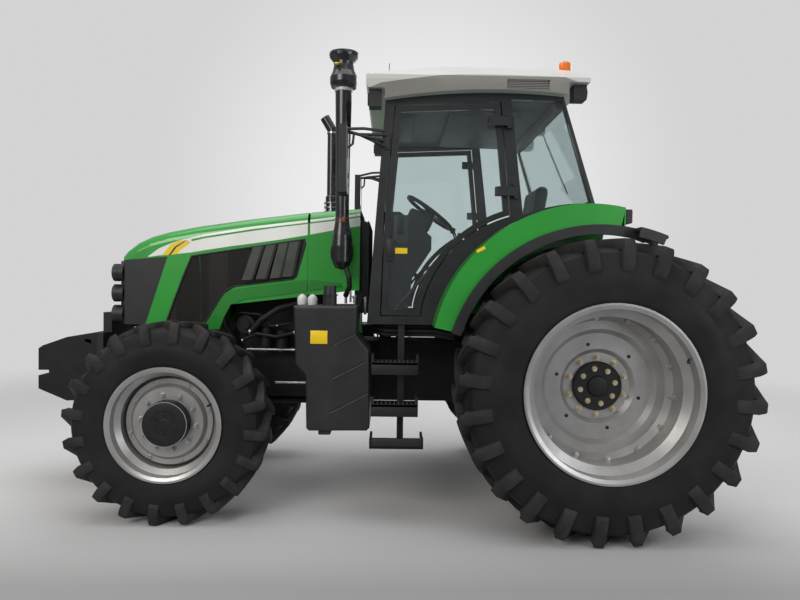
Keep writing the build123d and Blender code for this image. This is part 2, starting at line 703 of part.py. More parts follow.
WHEEL_MIDDLE = (-330, 0, 1980)
WHEEL_TILT = 36
WHEEL_HUB = 24
wheel_middle = Vector(*WHEEL_MIDDLE)
wheel_normal = Vector(-math.sin(math.radians(WHEEL_TILT)), 0, math.cos(math.radians(WHEEL_TILT)))
with BuildPart() as console:
    slab(
        [(0, 1250 + SEAT_GAP), (-170, 1250 + SEAT_GAP), (-200, 1500), (-330, 1700), (-330, 1790), (-250, 1860), (-110, 1960), (-12, 1960), (-12, 1700), (0, 1500)],
        (-250, 250),
    )
    column_foot = wheel_middle - wheel_normal * 200
    column_top = wheel_middle - wheel_normal * (WHEEL_HUB / 2 + SEAT_GAP)
    rod(tuple(column_foot), tuple(column_top), 30)

with BuildPart() as steering_wheel:
    with Locations(Plane(origin=WHEEL_MIDDLE, x_dir=(0, 1, 0), z_dir=wheel_normal)):
        Torus(190, 14)
        with PolarLocations(0, 3, start_angle=90):
            with Locations((92, 0, 0)):
                Box(190, 26, 10)
        Cylinder(38, WHEEL_HUB)

with BuildPart() as seat:
    block((-1090, -680), (-245, 245), (1560 + SEAT_GAP, 1690))
    slab([(-1080, 1700), (-1000, 1700), (-1075, 2180), (-1150, 2180)], (-235, 235))
    block((-1085, -1005), (-120, 120), (1685, 1705))
    fillet(seat.edges().filter_by(lambda e: e.center().Z > 1565 and abs(abs(e.center().Y) - 240) < 8), radius=25)

with BuildPart() as roof:
    with BuildSketch(side_plane(860)):
        with BuildLine():
            Polyline((0, 2585.6), (0, 2642), (100, 2642), (112, 2660), (112, 2722))
            ThreePointArc((112, 2722), (-480, 2868), (-1170, 2838))
            Polyline((-1170, 2838), (-1235, 2790), (-1235, 2690), (-1112, 2690), (-1112, 2625.5), (-1100, 2625 + SEAT_GAP))
            ThreePointArc((-1100, 2625 + SEAT_GAP), (-550, 2640 + SEAT_GAP), (-6, 2585 + SEAT_GAP))
            Line((-6, 2585 + SEAT_GAP), (0, 2585.6))
        make_face()
    extrude(amount=1720)
    with BuildSketch(Plane.YZ.offset(-1400)):
        with BuildLine():
            Polyline((560, 2856), (842, 2715), (838, 2690), (795, 2570), (-795, 2570), (-838, 2690), (-842, 2715), (-560, 2856))
            ThreePointArc((-560, 2856), (0, 2885), (560, 2856))
        make_face()
    extrude(amount=1700, mode=Mode.INTERSECT)
    for side in (1, -1):
        block((-993, -734), (side * 822, side * 900), (2650, 2700), mode=Mode.SUBTRACT)
    with Locations((-1150, 560, 2800)):
        Cylinder(46, 200, align=(Align.CENTER, Align.CENTER, Align.MIN), mode=Mode.SUBTRACT)

with BuildPart() as fixed_glass:
    slab([(24.5, 1985 + SEAT_GAP), (18.5, 1985 + SEAT_GAP), (-24, 2530 - SEAT_GAP), (-18, 2530 - SEAT_GAP)], (-FLOOR_HALF, FLOOR_HALF))
    slab([(-1298, 2000), (-1292, 2000), (-1113, 2565 - SEAT_GAP), (-1119, 2565 - SEAT_GAP)], (-FLOOR_HALF, FLOOR_HALF))
    for side in (1, -1):
        with BuildSketch(side_plane(side * 728 + 3)):
            with BuildLine():
                Polyline((-778, 2606), (-862, 1900))
                ThreePointArc((-862, 1900), (-1080, 1962), (-1282, 1976))
                Polyline((-1282, 1976), (-1092, 2600), (-778, 2606))
            make_face()
            offset(amount=-SEAT_GAP, mode=Mode.REPLACE)
        extrude(amount=GLASS)
        slab([(64, 1292), (58, 1292), (20, 1928), (26, 1928)], (side * (430 + SEAT_GAP), side * (FLOOR_HALF - 1)))

# ---- Doors -----------------------------------------------------------------------------
with BuildPart() as door_left:
    with BuildSketch(side_plane(CAB_HALF)):
        with BuildLine():
            Polyline((-243, 1290), (-243, 1262), (12, 1262), (-4, 1883), (-62, 2560), (-716, 2592), (-786, 1890))
            ThreePointArc((-786, 1890), (-470, 1713), (-243, 1290))
        make_face()
        offset(amount=-DOOR_GAP, mode=Mode.REPLACE)
        with BuildLine():
            Polyline((-243, 1290), (-243, 1262), (12, 1262), (-4, 1883), (-62, 2560), (-716, 2592), (-786, 1890))
            ThreePointArc((-786, 1890), (-470, 1713), (-243, 1290))
        door_hole = make_face(mode=Mode.PRIVATE)
        offset(door_hole, amount=-DOOR_GAP - 36, mode=Mode.SUBTRACT)
    extrude(amount=DOOR_WALL)
    for z in (HINGE_TOP[1], HINGE_LOW[1]):
        axis_x = on_hinge(z)[0]
        with BuildSketch(Plane.XY.offset(z - STRAP_HALF)):
            with BuildLine():
                Polyline((axis_x - 16, 752), (axis_x - 16, 780), (axis_x + 110, 780), (axis_x + 122, 741), (axis_x + 52, 741), (axis_x + 40, 752), close=True)
            make_face()
        extrude(amount=2 * STRAP_HALF)
    rod(on_hinge(1950), on_hinge(2550), HINGE_PIN_RADIUS + RUN_GAP, mode=Mode.SUBTRACT)

with BuildPart() as door_glass_left:
    with BuildSketch(side_plane(728 + 3)):
        with BuildLine():
            Polyline((-243, 1290), (-243, 1262), (12, 1262), (-4, 1883), (-62, 2560), (-716, 2592), (-786, 1890))
            ThreePointArc((-786, 1890), (-470, 1713), (-243, 1290))
        make_face()
        offset(amount=-DOOR_GAP - 36 - SEAT_GAP, mode=Mode.REPLACE)
    extrude(amount=GLASS)

# ---- Fenders ---------------------------------------------------------------------------
FENDER_START = 12
FENDER_END = 102
start_way = Vector(math.cos(math.radians(FENDER_START)), 0, math.sin(math.radians(FENDER_START)))
with BuildPart() as fender_left:
    plane = Plane(origin=(FENDER_X, 0, FENDER_Z), x_dir=(0, 1, 0), z_dir=(start_way.Z, 0, -start_way.X))
    inner_r = FENDER_RADIUS - FENDER_SKIN
    with BuildSketch(plane):
        with BuildLine():
            Polyline(
                (FENDER_INNER_Y, 640), (FENDER_INNER_Y, FENDER_RADIUS), (FENDER_OUTER_Y, FENDER_RADIUS),
                (FENDER_OUTER_Y, inner_r), (FENDER_INNER_Y + FENDER_SKIN, inner_r), (FENDER_INNER_Y + FENDER_SKIN, 640), close=True,
            )
        make_face()
    revolve(axis=Axis((FENDER_X, 0, FENDER_Z), (0, -1, 0)), revolution_arc=FENDER_END - FENDER_START)
    with BuildSketch(side_plane(FENDER_OUTER_Y)):
        with Locations((FENDER_X, FENDER_Z)):
            Circle(FENDER_RADIUS)
        with Locations((LIP_X, LIP_Z)):
            Circle(LIP_RADIUS, mode=Mode.SUBTRACT)
        with BuildLine():
            reach = 1400
            Polyline(
                (FENDER_X, FENDER_Z),
                (FENDER_X + reach * math.cos(math.radians(FENDER_START)), FENDER_Z + reach * math.sin(math.radians(FENDER_START))),
                (FENDER_X + reach, FENDER_Z + reach),
                (FENDER_X, FENDER_Z + reach),
                (FENDER_X + reach * math.cos(math.radians(FENDER_END)), FENDER_Z + reach * math.sin(math.radians(FENDER_END))),
                close=True,
            )
        make_face(mode=Mode.INTERSECT)
    extrude(amount=10)
    block((-1408, -1401), (FENDER_INNER_Y + 2, FENDER_OUTER_Y), (1815, 1922))

LIP_START = 17
LIP_END = 112
lip_way = Vector(math.cos(math.radians(LIP_START)), 0, math.sin(math.radians(LIP_START)))
with BuildPart() as fender_lip:
    with BuildSketch(Plane(origin=(LIP_X, 0, LIP_Z), x_dir=(0, 1, 0), z_dir=(lip_way.Z, 0, -lip_way.X))):
        with BuildLine():
            top = LIP_RADIUS - SEAT_GAP
            Polyline((985, top - LIP_DEPTH), (985, top), (LIP_OUTER_Y, top), (LIP_OUTER_Y, top - LIP_DEPTH), close=True)
        make_face()
    revolve(axis=Axis((LIP_X, 0, LIP_Z), (0, -1, 0)), revolution_arc=LIP_END - LIP_START)
    rear_way = Vector(math.cos(math.radians(102)), 0, math.sin(math.radians(102)))
    with BuildSketch(Plane(origin=(LIP_X, 0, LIP_Z), x_dir=(0, 1, 0), z_dir=(rear_way.Z, 0, -rear_way.X))):
        with BuildLine():
            Polyline((760, top - 20), (760, top), (1120, top), (1120, top - LIP_DEPTH), (1100, top - LIP_DEPTH), (1100, top - 20), close=True)
        make_face()
    revolve(axis=Axis((LIP_X, 0, LIP_Z), (0, -1, 0)), revolution_arc=LIP_END - 102)

# ---- Lamps, mirrors, rear hitch ----------------------------------------------------------
with BuildPart() as lamps:
    for side in (1, -1):
        block((20, 96), (side * 700, side * 790), (2536, 2642 - SEAT_GAP))
        block((-1228, -1150), (side * 690, side * 790), (2600, 2690 - SEAT_GAP))
        block((-1453, -1408 - SEAT_GAP), (side * 840, side * 980), (1836, 1916))
    with Locations((-1150, 560, 2800 + SEAT_GAP)):
        Cylinder(38, 70, align=(Align.CENTER, Align.CENTER, Align.MIN))

with BuildPart() as mirror_left:
    block((-34, 6), (CAB_HALF + SEAT_GAP, CAB_HALF + 10), (2285, 2385))
    rod((-10, CAB_HALF + 14, 2300), (150, 800, 2362), 9)
    rod((-10, CAB_HALF + 14, 2372), (150, 800, 2362), 9)
    rod((150, 800, 2362), (240, 900, 2362), 9)
    block((215, 262), (790, 990), (1990, 2380))

with BuildPart() as headlamps:
    for y in (-LAMP_Y, LAMP_Y):
        for z in LAMP_HEIGHTS:
            rod((1770, y, z), (1838, y, z), LAMP_RADIUS)

with BuildPart() as lower_links:
    for side in (1, -1):
        start = Vector(LINK_PIVOT[0], side * LINK_PIVOT_Y, LINK_PIVOT[1])
        end = Vector(LINK_BALL[0], side * LINK_BALL_Y, LINK_BALL[1])
        with BuildSketch(Plane.XY.offset(LINK_PIVOT[1] - 45)):
            with BuildLine():
                Polyline(
                    (start.X, start.Y - side * 12), (start.X - 60, start.Y - side * 14), (end.X + 20, end.Y - side * 14),
                    (end.X + 20, end.Y + side * 14), (start.X - 60, start.Y + side * 14), (start.X, start.Y + side * 12), close=True,
                )
            make_face()
        extrude(amount=70)
        rod((start.X, start.Y - side * 12, start.Z), (start.X, start.Y + side * 12, start.Z), 42)
        rod((end.X, end.Y - side * 22, end.Z), (end.X, end.Y + side * 22, end.Z), LINK_EYE_RADIUS)
        rod((start.X, start.Y - side * 60, start.Z), (start.X, start.Y + side * 60, start.Z), 14 + RUN_GAP, mode=Mode.SUBTRACT)
        rod((end.X, end.Y - side * 60, end.Z), (end.X, end.Y + side * 60, end.Z), LINK_BORE_RADIUS, mode=Mode.SUBTRACT)

with BuildPart() as lift_arms:
    for side in (1, -1):
        slab(
            [(ARM_SHAFT[0] + 40, ARM_SHAFT[1] - 45), (ARM_SHAFT[0] + 40, ARM_SHAFT[1] + 45), (ARM_SHAFT[0] - 40, ARM_SHAFT[1] + 55),
             (ARM_END[0] - 20, ARM_END[1] + 25), (ARM_END[0] - 20, ARM_END[1] - 25)],
            (side * (ARM_Y - 14), side * (ARM_Y + 14)),
        )
        rod((ARM_SHAFT[0], side * (ARM_Y - 30), ARM_SHAFT[1]), (ARM_SHAFT[0], side * (ARM_Y + 30), ARM_SHAFT[1]), 28 + RUN_GAP, mode=Mode.SUBTRACT)
        rod((ARM_END[0], side * (ARM_Y + 10), ARM_END[1]), (ARM_END[0], side * (ARM_Y + 55), ARM_END[1]), 12)

with BuildPart() as lift_rods:
    for side in (1, -1):
        foot_z = 650
        eye = ARM_Y + 35
        rod((ARM_END[0], side * (eye - 14), ARM_END[1]), (ARM_END[0], side * (eye + 14), ARM_END[1]), 28)
        rod((ARM_END[0], side * eye, ARM_END[1]), (ROD_FOOT_X, side * eye, foot_z), 17)
        rod((ARM_END[0], side * (eye - 30), ARM_END[1]), (ARM_END[0], side * (eye + 30), ARM_END[1]), 12 + RUN_GAP, mode=Mode.SUBTRACT)

with BuildPart() as drawbar:
    block((-1580, -1500), (-60, 60), (500, 660 - SEAT_GAP))
    block((-1960, -1500), (-40, 40), (470, 505))
    rod((-1920, 0, 460), (-1920, 0, 520), 16, mode=Mode.SUBTRACT)

pieces = {
    "stacks": stacks.part,
    "fuel_tank": fuel_tank.part,
    "battery_box": battery_box.part,
    "steps": both_sides(step_left.part),
    "cab_frame": cab_frame.part,
    "cab_floor": cab_floor.part,
    "console": console.part,
    "steering_wheel": steering_wheel.part,
    "seat": seat.part,
    "roof": roof.part,
    "fixed_glass": fixed_glass.part,
    "door_left": door_left.part,
    "door_right": mirrored(door_left.part),
    "door_glass_left": door_glass_left.part,
    "door_glass_right": mirrored(door_glass_left.part),
    "fender_left": fender_left.part,
    "fender_right": mirrored(fender_left.part),
    "fender_lips": both_sides(fender_lip.part),
    "lamps": lamps.part,
    "mirrors": both_sides(mirror_left.part),
    "headlamps": headlamps.part,
    "lower_links": lower_links.part,
    "lift_arms": lift_arms.part,
    "lift_rods": lift_rods.part,
    "drawbar": drawbar.part,
    "drivetrain": drivetrain.part,
    "engine": engine.part,
    "front_frame": front_frame.part,
    "front_axle": front_axle.part,
    "steering_rod": steering_rod.part,
    "knuckle_left": knuckle_left.part,
    "knuckle_right": mirrored(knuckle_left.part),
    "front_weights": front_weights.part,
    "hood_shell": hood_shell.part,
    "nose_grille": nose_grille.part,
    "side_grilles": side_grilles.part,
    "rear_cowl": rear_cowl.part,
}
for name, size in (("rear", REAR), ("front", FRONT)):
    pieces[f"{name}_tyre_left"] = tyre(size)
    pieces[f"{name}_rim_left"] = rim(size)
    pieces[f"{name}_tyre_right"] = mirrored(pieces[f"{name}_tyre_left"])
    pieces[f"{name}_rim_right"] = mirrored(pieces[f"{name}_rim_left"])

os.makedirs("parts", exist_ok=True)
for label, piece in pieces.items():
    piece.label = label
    export_step(piece, f"parts/{label}.step")
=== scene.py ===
import math

import bmesh
import bpy
from mathutils import Matrix, Vector


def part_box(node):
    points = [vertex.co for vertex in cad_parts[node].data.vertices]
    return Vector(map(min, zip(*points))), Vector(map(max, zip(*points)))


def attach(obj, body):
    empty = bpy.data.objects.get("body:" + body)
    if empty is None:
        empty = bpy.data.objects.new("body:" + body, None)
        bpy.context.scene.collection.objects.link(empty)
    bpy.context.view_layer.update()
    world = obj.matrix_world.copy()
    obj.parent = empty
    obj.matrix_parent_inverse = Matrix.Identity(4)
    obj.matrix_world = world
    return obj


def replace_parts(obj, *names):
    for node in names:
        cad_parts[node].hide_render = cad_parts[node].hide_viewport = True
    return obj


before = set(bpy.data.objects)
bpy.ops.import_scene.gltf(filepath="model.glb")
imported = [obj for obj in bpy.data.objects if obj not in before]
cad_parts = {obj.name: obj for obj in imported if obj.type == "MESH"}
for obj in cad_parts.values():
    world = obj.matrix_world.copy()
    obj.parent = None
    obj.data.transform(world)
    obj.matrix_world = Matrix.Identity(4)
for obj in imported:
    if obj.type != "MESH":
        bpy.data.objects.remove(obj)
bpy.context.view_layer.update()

MM = 0.001
X = Vector((1, 0, 0))
Y = Vector((0, 1, 0))
Z = Vector((0, 0, 1))
SIDES = (("left", 1), ("right", -1))


# ---- Materials ----
def linear(code):
    """An sRGB hex colour as the linear values that a shader takes."""
    shares = [int(code[i : i + 2], 16) / 255 for i in (0, 2, 4)]
    return [c / 12.92 if c <= 0.04045 else ((c + 0.055) / 1.055) ** 2.4 for c in shares] + [1]


def add(tree, kind, inputs=(), **settings):
    """Add a shader node, set its properties, and fill its inputs with values or links."""
    made = tree.nodes.new("ShaderNode" + kind)
    for name, value in settings.items():
        setattr(made, name, value)
    for name, value in dict(inputs).items():
        if isinstance(value, bpy.types.NodeSocket):
            tree.links.new(value, made.inputs[name])
        else:
            made.inputs[name].default_value = value
    return made.outputs


def blank(name):
    """A new material and its empty node tree."""
    material = bpy.data.materials.new(name)
    material.use_nodes = True
    material.node_tree.nodes.clear()
    return material, material.node_tree


def close_up(material, shader):
    """Give a material its surface."""
    add(material.node_tree, "OutputMaterial", {"Surface": shader})
    return material


def patches(tree, size_mm, detail=3, seed=0):
    """Soft noise with features of about this size."""
    place = add(tree, "TexCoord")["Object"]
    moved = add(tree, "Mapping", {"Vector": place, "Location": (seed, seed, seed)})["Vector"]
    return add(tree, "TexNoise", {"Vector": moved, "Scale": 1000 / size_mm, "Detail": detail})["Fac"]


def coated(
    name, colour, worn, rough, patch_mm=220, grain_mm=3, grain_high_mm=0.15, metallic=0.0, coat=0.0,
    spread=0.08, fine=2, specular=0.5,
):
    """A skin with slow colour drift between two tones, a fine grain and uneven gloss."""
    material, tree = blank(name)
    drift = patches(tree, patch_mm)
    tone = add(tree, "MapRange", {"Value": drift, "From Min": 0.35, "From Max": 0.68})["Result"]
    colours = add(tree, "Mix", {0: tone, 6: linear(colour), 7: linear(worn)}, data_type="RGBA")[2]
    grain = patches(tree, grain_mm, fine, 3)
    bump = add(tree, "Bump", {"Height": grain, "Distance": grain_high_mm * MM, "Strength": 1.0})["Normal"]
    gloss = add(
        tree, "MapRange",
        {"Value": patches(tree, patch_mm / 3, 3, 7), "To Min": rough - spread, "To Max": rough + spread},
    )["Result"]
    shader = add(
        tree, "BsdfPrincipled",
        {
            "Base Color": colours, "Roughness": gloss, "Normal": bump, "Metallic": metallic,
            "Coat Weight": coat, "Coat Roughness": 0.06, "Specular IOR Level": specular,
        },
    )["BSDF"]
    return close_up(material, shader)


# Two-pack enamel over pressed steel: deep gloss with the faint ripple of a sprayed coat.
green_enamel = coated("green_enamel", "1f8f2c", "23992f", 0.30, 400, 5, 0.03, coat=0.6, spread=0.05)
# The lower band is the hood's own enamel drawn darker: painted shade on the band.
shaded_band_enamel = coated("green_enamel_band_painted_shade", "17771f", "1a7f24", 0.30, 400, 5, 0.03, coat=0.6, spread=0.05)
deep_green_line = coated("deep_green_line", "0b4a20", "0d5022", 0.4, 200, 5, 0.03)
# Vinyl striping: flat, slightly duller than the enamel around it.
white_vinyl = coated("white_vinyl", "e8ebe6", "dfe3de", 0.38, 200, 4, 0.02, coat=0.2)
yellow_vinyl = coated("yellow_vinyl", "f0cc14", "e6c010", 0.38, 200, 4, 0.02, coat=0.2)
# Satin powder coat on the cab's tubes: near black with a fine pebble.
powder_coat = coated("powder_coat", "1b1d20", "232528", 0.42, 180, 2.5, 0.10)
# Chassis black over sand castings: coarse skin and a matt film.
cast_black = coated(
    "chassis_black_on_cast_iron", "101112", "1a1b1c", 0.55, 120, 6, 0.7, fine=4, specular=0.35
)
# Chassis black over rolled plate: smoother, a little sheen.
chassis_black = coated("chassis_black_on_plate", "141517", "1e1f21", 0.48, 160, 3, 0.15)
# Aluminium-flake wheel enamel: mid silver, soft highlights.
silver_enamel = coated(
    "silver_wheel_enamel", "b0afae", "a09f9e", 0.34, 160, 1.6, 0.05, metallic=0.6, coat=0.25
)
# Vulcanised rubber: dull charcoal, the carcass darker than the lugs as painted shade in the gaps between
# them.
tyre_rubber = coated("tyre_rubber", "18181a", "242425", 0.62, 240, 4, 0.3, spread=0.14, fine=5, specular=0.2)
lug_rubber = coated("lug_rubber", "202021", "302e2d", 0.7, 90, 4, 0.35, spread=0.14, fine=5, specular=0.3)
seal_rubber = coated("seal_rubber", "0f1011", "161718", 0.62, 60, 3, 0.1)
# Moulded polypropylene with a spark-eroded texture.
# The louvre blades are a lighter grey than the black plastic, partly a painted highlight on their faces.
louvre_plastic_and_highlight = coated("louvre_plastic_and_highlight", "3a3e3a", "474b46", 0.42, 120, 2, 0.08)
black_plastic = coated("black_polypropylene", "191a1c", "202124", 0.52, 120, 1.8, 0.18)
# Rotomoulded polyethylene: waxy dark grey, lightly orange-peeled.
tank_plastic = coated("rotomoulded_polyethylene", "202123", "2a2b2c", 0.46, 150, 6, 0.4, fine=3, specular=0.4)
# Gelcoat over glass fibre: a satin off-white top and a warm grey edge, whose grey is partly painted shade on
# the roof's sides.
white_gelcoat = coated("white_gelcoat", "cdcecc", "c6c8c6", 0.38, 350, 8, 0.01, coat=0.3)
grey_gelcoat_and_shade = coated("warm_grey_gelcoat", "8d8c87", "84837e", 0.42, 250, 6, 0.02, coat=0.15)
# Chromed, plated and bare steel.
hard_chrome = coated("hard_chrome", "c9ccd0", "bfc3c8", 0.14, 80, 2, 0.01, metallic=1.0, spread=0.05)
zinc_plate = coated("yellow_zinc_plate", "c3b48e", "d6ceb9", 0.34, 30, 2, 0.03, metallic=0.85)
bright_zinc = coated("bright_zinc_plate", "b9bcc0", "a7aaae", 0.32, 30, 2, 0.03, metallic=0.9)
brushed_steel = coated("brushed_steel_pipe", "9b9ea1", "85888b", 0.34, 60, 2, 0.05, metallic=0.95)
# Baked black enamel on the stacks: dark and glossy.
exhaust_black = coated(
    "heatproof_black", "1d1f22", "28292b", 0.28, 160, 4, 0.05, metallic=0.35, coat=0.4, spread=0.06
)
red_clamp = coated("red_oxide_band", "6f3a33", "5d302b", 0.5, 30, 3, 0.1)
# Lenses, mirror glass and the cab's trim.
amber_lens = coated("amber_acrylic", "e0701a", "d8641a", 0.12, 40, 3, 0.02, coat=0.5, spread=0.03)
red_lens = coated("red_acrylic", "a3121a", "8f0f16", 0.14, 40, 3, 0.02, coat=0.5, spread=0.03)
mirror_silver = coated("mirror_silver", "d3d9dc", "cdd4d8", 0.04, 100, 60, 0.005, metallic=1.0, spread=0.02)
cab_carpet = coated("ribbed_floor_mat", "202124", "2a2b2e", 0.85, 60, 3, 0.5, fine=5)
dash_plastic = coated("dash_plastic", "2a2c30", "33363a", 0.55, 120, 1.6, 0.15)
grey_trim = coated("grey_trim_plastic", "4b4e52", "575a5e", 0.55, 120, 1.6, 0.15)


def pane_glass():
    """Tempered float glass, faintly green-grey, that lets lamps through to the cab."""
    material, tree = blank("tempered_glass")
    drift = patches(tree, 500)
    tint = add(tree, "Mix", {0: drift, 6: linear("dfe8e8"), 7: linear("d5e0e0")}, data_type="RGBA")[2]
    glass = add(
        tree, "BsdfPrincipled",
        {"Base Color": tint, "Roughness": 0.0, "IOR": 1.45, "Transmission Weight": 1.0},
    )["BSDF"]
    clear = add(tree, "BsdfTransparent", {"Color": linear("e3ebeb")})["BSDF"]
    shadow = add(tree, "LightPath")["Is Shadow Ray"]
    return close_up(material, add(tree, "MixShader", {0: shadow, 1: glass, 2: clear})["Shader"])


def lens():
    """Clear acrylic over a bright reflector, with moulded ribs."""
    material, tree = blank("lamp_acrylic")
    ribs = add(
        tree, "TexWave", {"Vector": add(tree, "TexCoord")["Object"], "Scale": 30.0, "Distortion": 0.3},
        bands_direction="Y",
    )["Fac"]
    colours = add(tree, "Mix", {0: ribs, 6: linear("8b9196"), 7: linear("c8cdd1")}, data_type="RGBA")[2]
    bump = add(tree, "Bump", {"Height": ribs, "Distance": 0.0015, "Strength": 0.6})["Normal"]
    shader = add(
        tree, "BsdfPrincipled",
        {
            "Base Color": colours, "Roughness": 0.12, "Metallic": 0.6, "Coat Weight": 0.8,
            "Coat Roughness": 0.03, "Normal": bump,
        },
    )["BSDF"]
    return close_up(material, shader)


def punched_mesh():
    """Black painted steel sheet punched in a fine staggered pattern, drawn at 9 mm so that it shows, its
    holes painted near-black as painted shade.
    """
    material, tree = blank("punched_steel_mesh")
    cells = add(
        tree, "TexVoronoi", {"Vector": add(tree, "TexCoord")["Object"], "Scale": 1000 / 9, "Randomness": 0.0},
        distance="CHEBYCHEV",
    )["Distance"]
    hole = add(tree, "MapRange", {"Value": cells, "From Min": 0.30, "From Max": 0.36})["Result"]
    # The holes get near-black: painted shade of the dark space behind the sheet.
    colours = add(tree, "Mix", {0: hole, 6: linear("040404"), 7: linear("1a1a19")}, data_type="RGBA")[2]
    bump = add(tree, "Bump", {"Height": hole, "Distance": 0.002, "Strength": 1.0})["Normal"]
    shader = add(
        tree, "BsdfPrincipled",
        {"Base Color": colours, "Roughness": 0.5, "Specular IOR Level": 0.25, "Normal": bump},
    )["BSDF"]
    return close_up(material, shader)


def woven_seat():
    """Flat-woven polyester over foam, threads about 1.2 mm apart drawn at 4 mm."""
    material, tree = blank("woven_polyester")
    place = add(tree, "TexCoord")["Object"]
    threads = {"Vector": place, "Scale": 80.0, "Distortion": 0.6}
    across = add(tree, "TexWave", threads, bands_direction="X")["Fac"]
    along = add(tree, "TexWave", threads, bands_direction="Y")["Fac"]
    weave = add(tree, "Math", {0: across, 1: along}, operation="MULTIPLY")["Value"]
    colours = add(tree, "Mix", {0: weave, 6: linear("1c1d20"), 7: linear("3a3c40")}, data_type="RGBA")[2]
    bump = add(tree, "Bump", {"Height": weave, "Distance": 0.0008, "Strength": 0.8})["Normal"]
    shader = add(
        tree, "BsdfPrincipled",
        {
            "Base Color": colours, "Roughness": 0.9, "Normal": bump, "Sheen Weight": 0.3,
            "Sheen Roughness": 0.5,
        },
    )["BSDF"]
    return close_up(material, shader)


tempered_glass = pane_glass()
lamp_acrylic = lens()
mesh_steel = punched_mesh()
seat_weave = woven_seat()


# ---- Shapes, drawn in millimetres ----
def rounded(bm, edges, radius, segments=2, clamp=False):
    bmesh.ops.bevel(
        bm, geom=list(edges), offset=radius, segments=segments, profile=0.5, affect="EDGES", material=-1,
        clamp_overlap=clamp,
    )


def brick(bm, low, high, round_mm=3, segments=2, turn=None):
    """A block with rounded edges, between two corners, turned about its middle."""
    middle = (Vector(low) + Vector(high)) / 2
    size = Vector(high) - Vector(low)
    made = bmesh.ops.create_cube(bm, size=1, matrix=Matrix.LocRotScale(middle, turn, size))
    if round_mm:
        rounded(bm, {edge for vert in made["verts"] for edge in vert.link_edges}, round_mm, segments)


def bar(bm, start, end, radius, sides=20, end_radius=None):
    """A round bar, or a cone, between two points."""
    line = Vector(end) - Vector(start)
    place = Matrix.LocRotScale((Vector(start) + Vector(end)) / 2, line.to_track_quat("Z", "Y"), None)
    far_radius = radius if end_radius is None else end_radius
    bmesh.ops.create_cone(
        bm, cap_ends=True, segments=sides, radius1=radius, radius2=far_radius, depth=line.length, matrix=place
    )


def ball(bm, middle, radius, stretch=(1, 1, 1)):
    place = Matrix.LocRotScale(Vector(middle), None, Vector(stretch))
    bmesh.ops.create_uvsphere(bm, u_segments=20, v_segments=12, radius=radius, matrix=place)


def pipe(bm, points, radius, sides=12):
    """A bent pipe: a bar for each run and a ball at each bend."""
    for start, end in zip(points, points[1:]):
        bar(bm, start, end, radius, sides)
    for bend in points[1:-1]:
        bmesh.ops.create_icosphere(bm, subdivisions=2, radius=radius, matrix=Matrix.Translation(bend))


def plate(bm, outline, push, round_mm=0):
    """A flat outline pushed out to a thickness."""
    face = bm.faces.new([bm.verts.new(point) for point in outline])
    grown = bmesh.ops.extrude_face_region(bm, geom=[face])["geom"]
    moved = [item for item in grown if isinstance(item, bmesh.types.BMVert)]
    bmesh.ops.translate(bm, verts=moved, vec=Vector(push))
    if round_mm:
        rounded(bm, {edge for vert in moved for edge in vert.link_edges}, round_mm)


def side_plate(bm, outline, ys, round_mm=0):
    """A plate from its side-view outline of (x, z), between two Y values."""
    plate(bm, [(x, ys[0], z) for x, z in outline], (0, ys[1] - ys[0], 0), round_mm)


def lathe(bm, middle, outline, axis=Y, sides=72):
    """A turned form from its outline of (distance along the axis, radius)."""
    away = Z if axis != Z else X
    verts = [bm.verts.new(Vector(middle) + axis * along + away * radius) for along, radius in outline]
    edges = [bm.edges.new(pair) for pair in zip(verts, verts[1:])]
    bmesh.ops.spin(
        bm, geom=verts + edges, cent=Vector(middle), axis=axis, angle=2 * math.pi, steps=sides, use_merge=True
    )


def around(bm, middle, axis, count, draw, start=0.0):
    """Repeat what draw() adds to a mesh, evenly round an axis."""
    for number in range(count):
        part = bmesh.new()
        draw(part)
        turn = Matrix.Rotation(start + 2 * math.pi * number / count, 4, axis)
        shift = Matrix.Translation(Vector(middle))
        bmesh.ops.transform(part, matrix=shift @ turn @ shift.inverted(), verts=part.verts)
        join(bm, part)


def mesh_of(name, bm):
    """Turn what has been drawn into a named mesh."""
    mesh = bpy.data.meshes.new(name)
    bm.to_mesh(mesh)
    bm.free()
    return mesh


def in_scene(name, data):
    """A new object of this name in the scene."""
    made = bpy.data.objects.new(name, data)
    bpy.context.scene.collection.objects.link(made)
    return made


def join(bm, part):
    """Move one mesh into another."""
    holder = mesh_of("holder", part)
    bm.from_mesh(holder)
    bpy.data.meshes.remove(holder)


def bolt(bm, at, way, across=19, high=12):
    """A hexagon head on its washer, at a point, facing a way."""
    way = Vector(way).normalized()
    at = Vector(at)
    bar(bm, at, at + way * 3, across * 0.72, 18)
    bar(bm, at + way * 3, at + way * high, across * 0.58, 6)


def done(name, bm, material, body="chassis", sharp=32, mirror=False):
    """Finish a mesh as a piece that rides on a body, with a mirrored twin in it where asked."""
    if mirror:
        both = bm.copy()
        bmesh.ops.scale(both, vec=(1, -1, 1), verts=both.verts)
        join(bm, both)
    bmesh.ops.remove_doubles(bm, verts=bm.verts, dist=0.02)
    bmesh.ops.dissolve_degenerate(bm, edges=bm.edges, dist=0.01)
    bmesh.ops.recalc_face_normals(bm, faces=bm.faces)
    bmesh.ops.scale(bm, vec=(MM, MM, MM), verts=bm.verts)
    mesh = mesh_of(name, bm)
    mesh.shade_smooth()
    mesh.set_sharp_from_angle(angle=math.radians(sharp))
    mesh.materials.append(material)
    made = in_scene(name, mesh)
    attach(made, body)
    return made


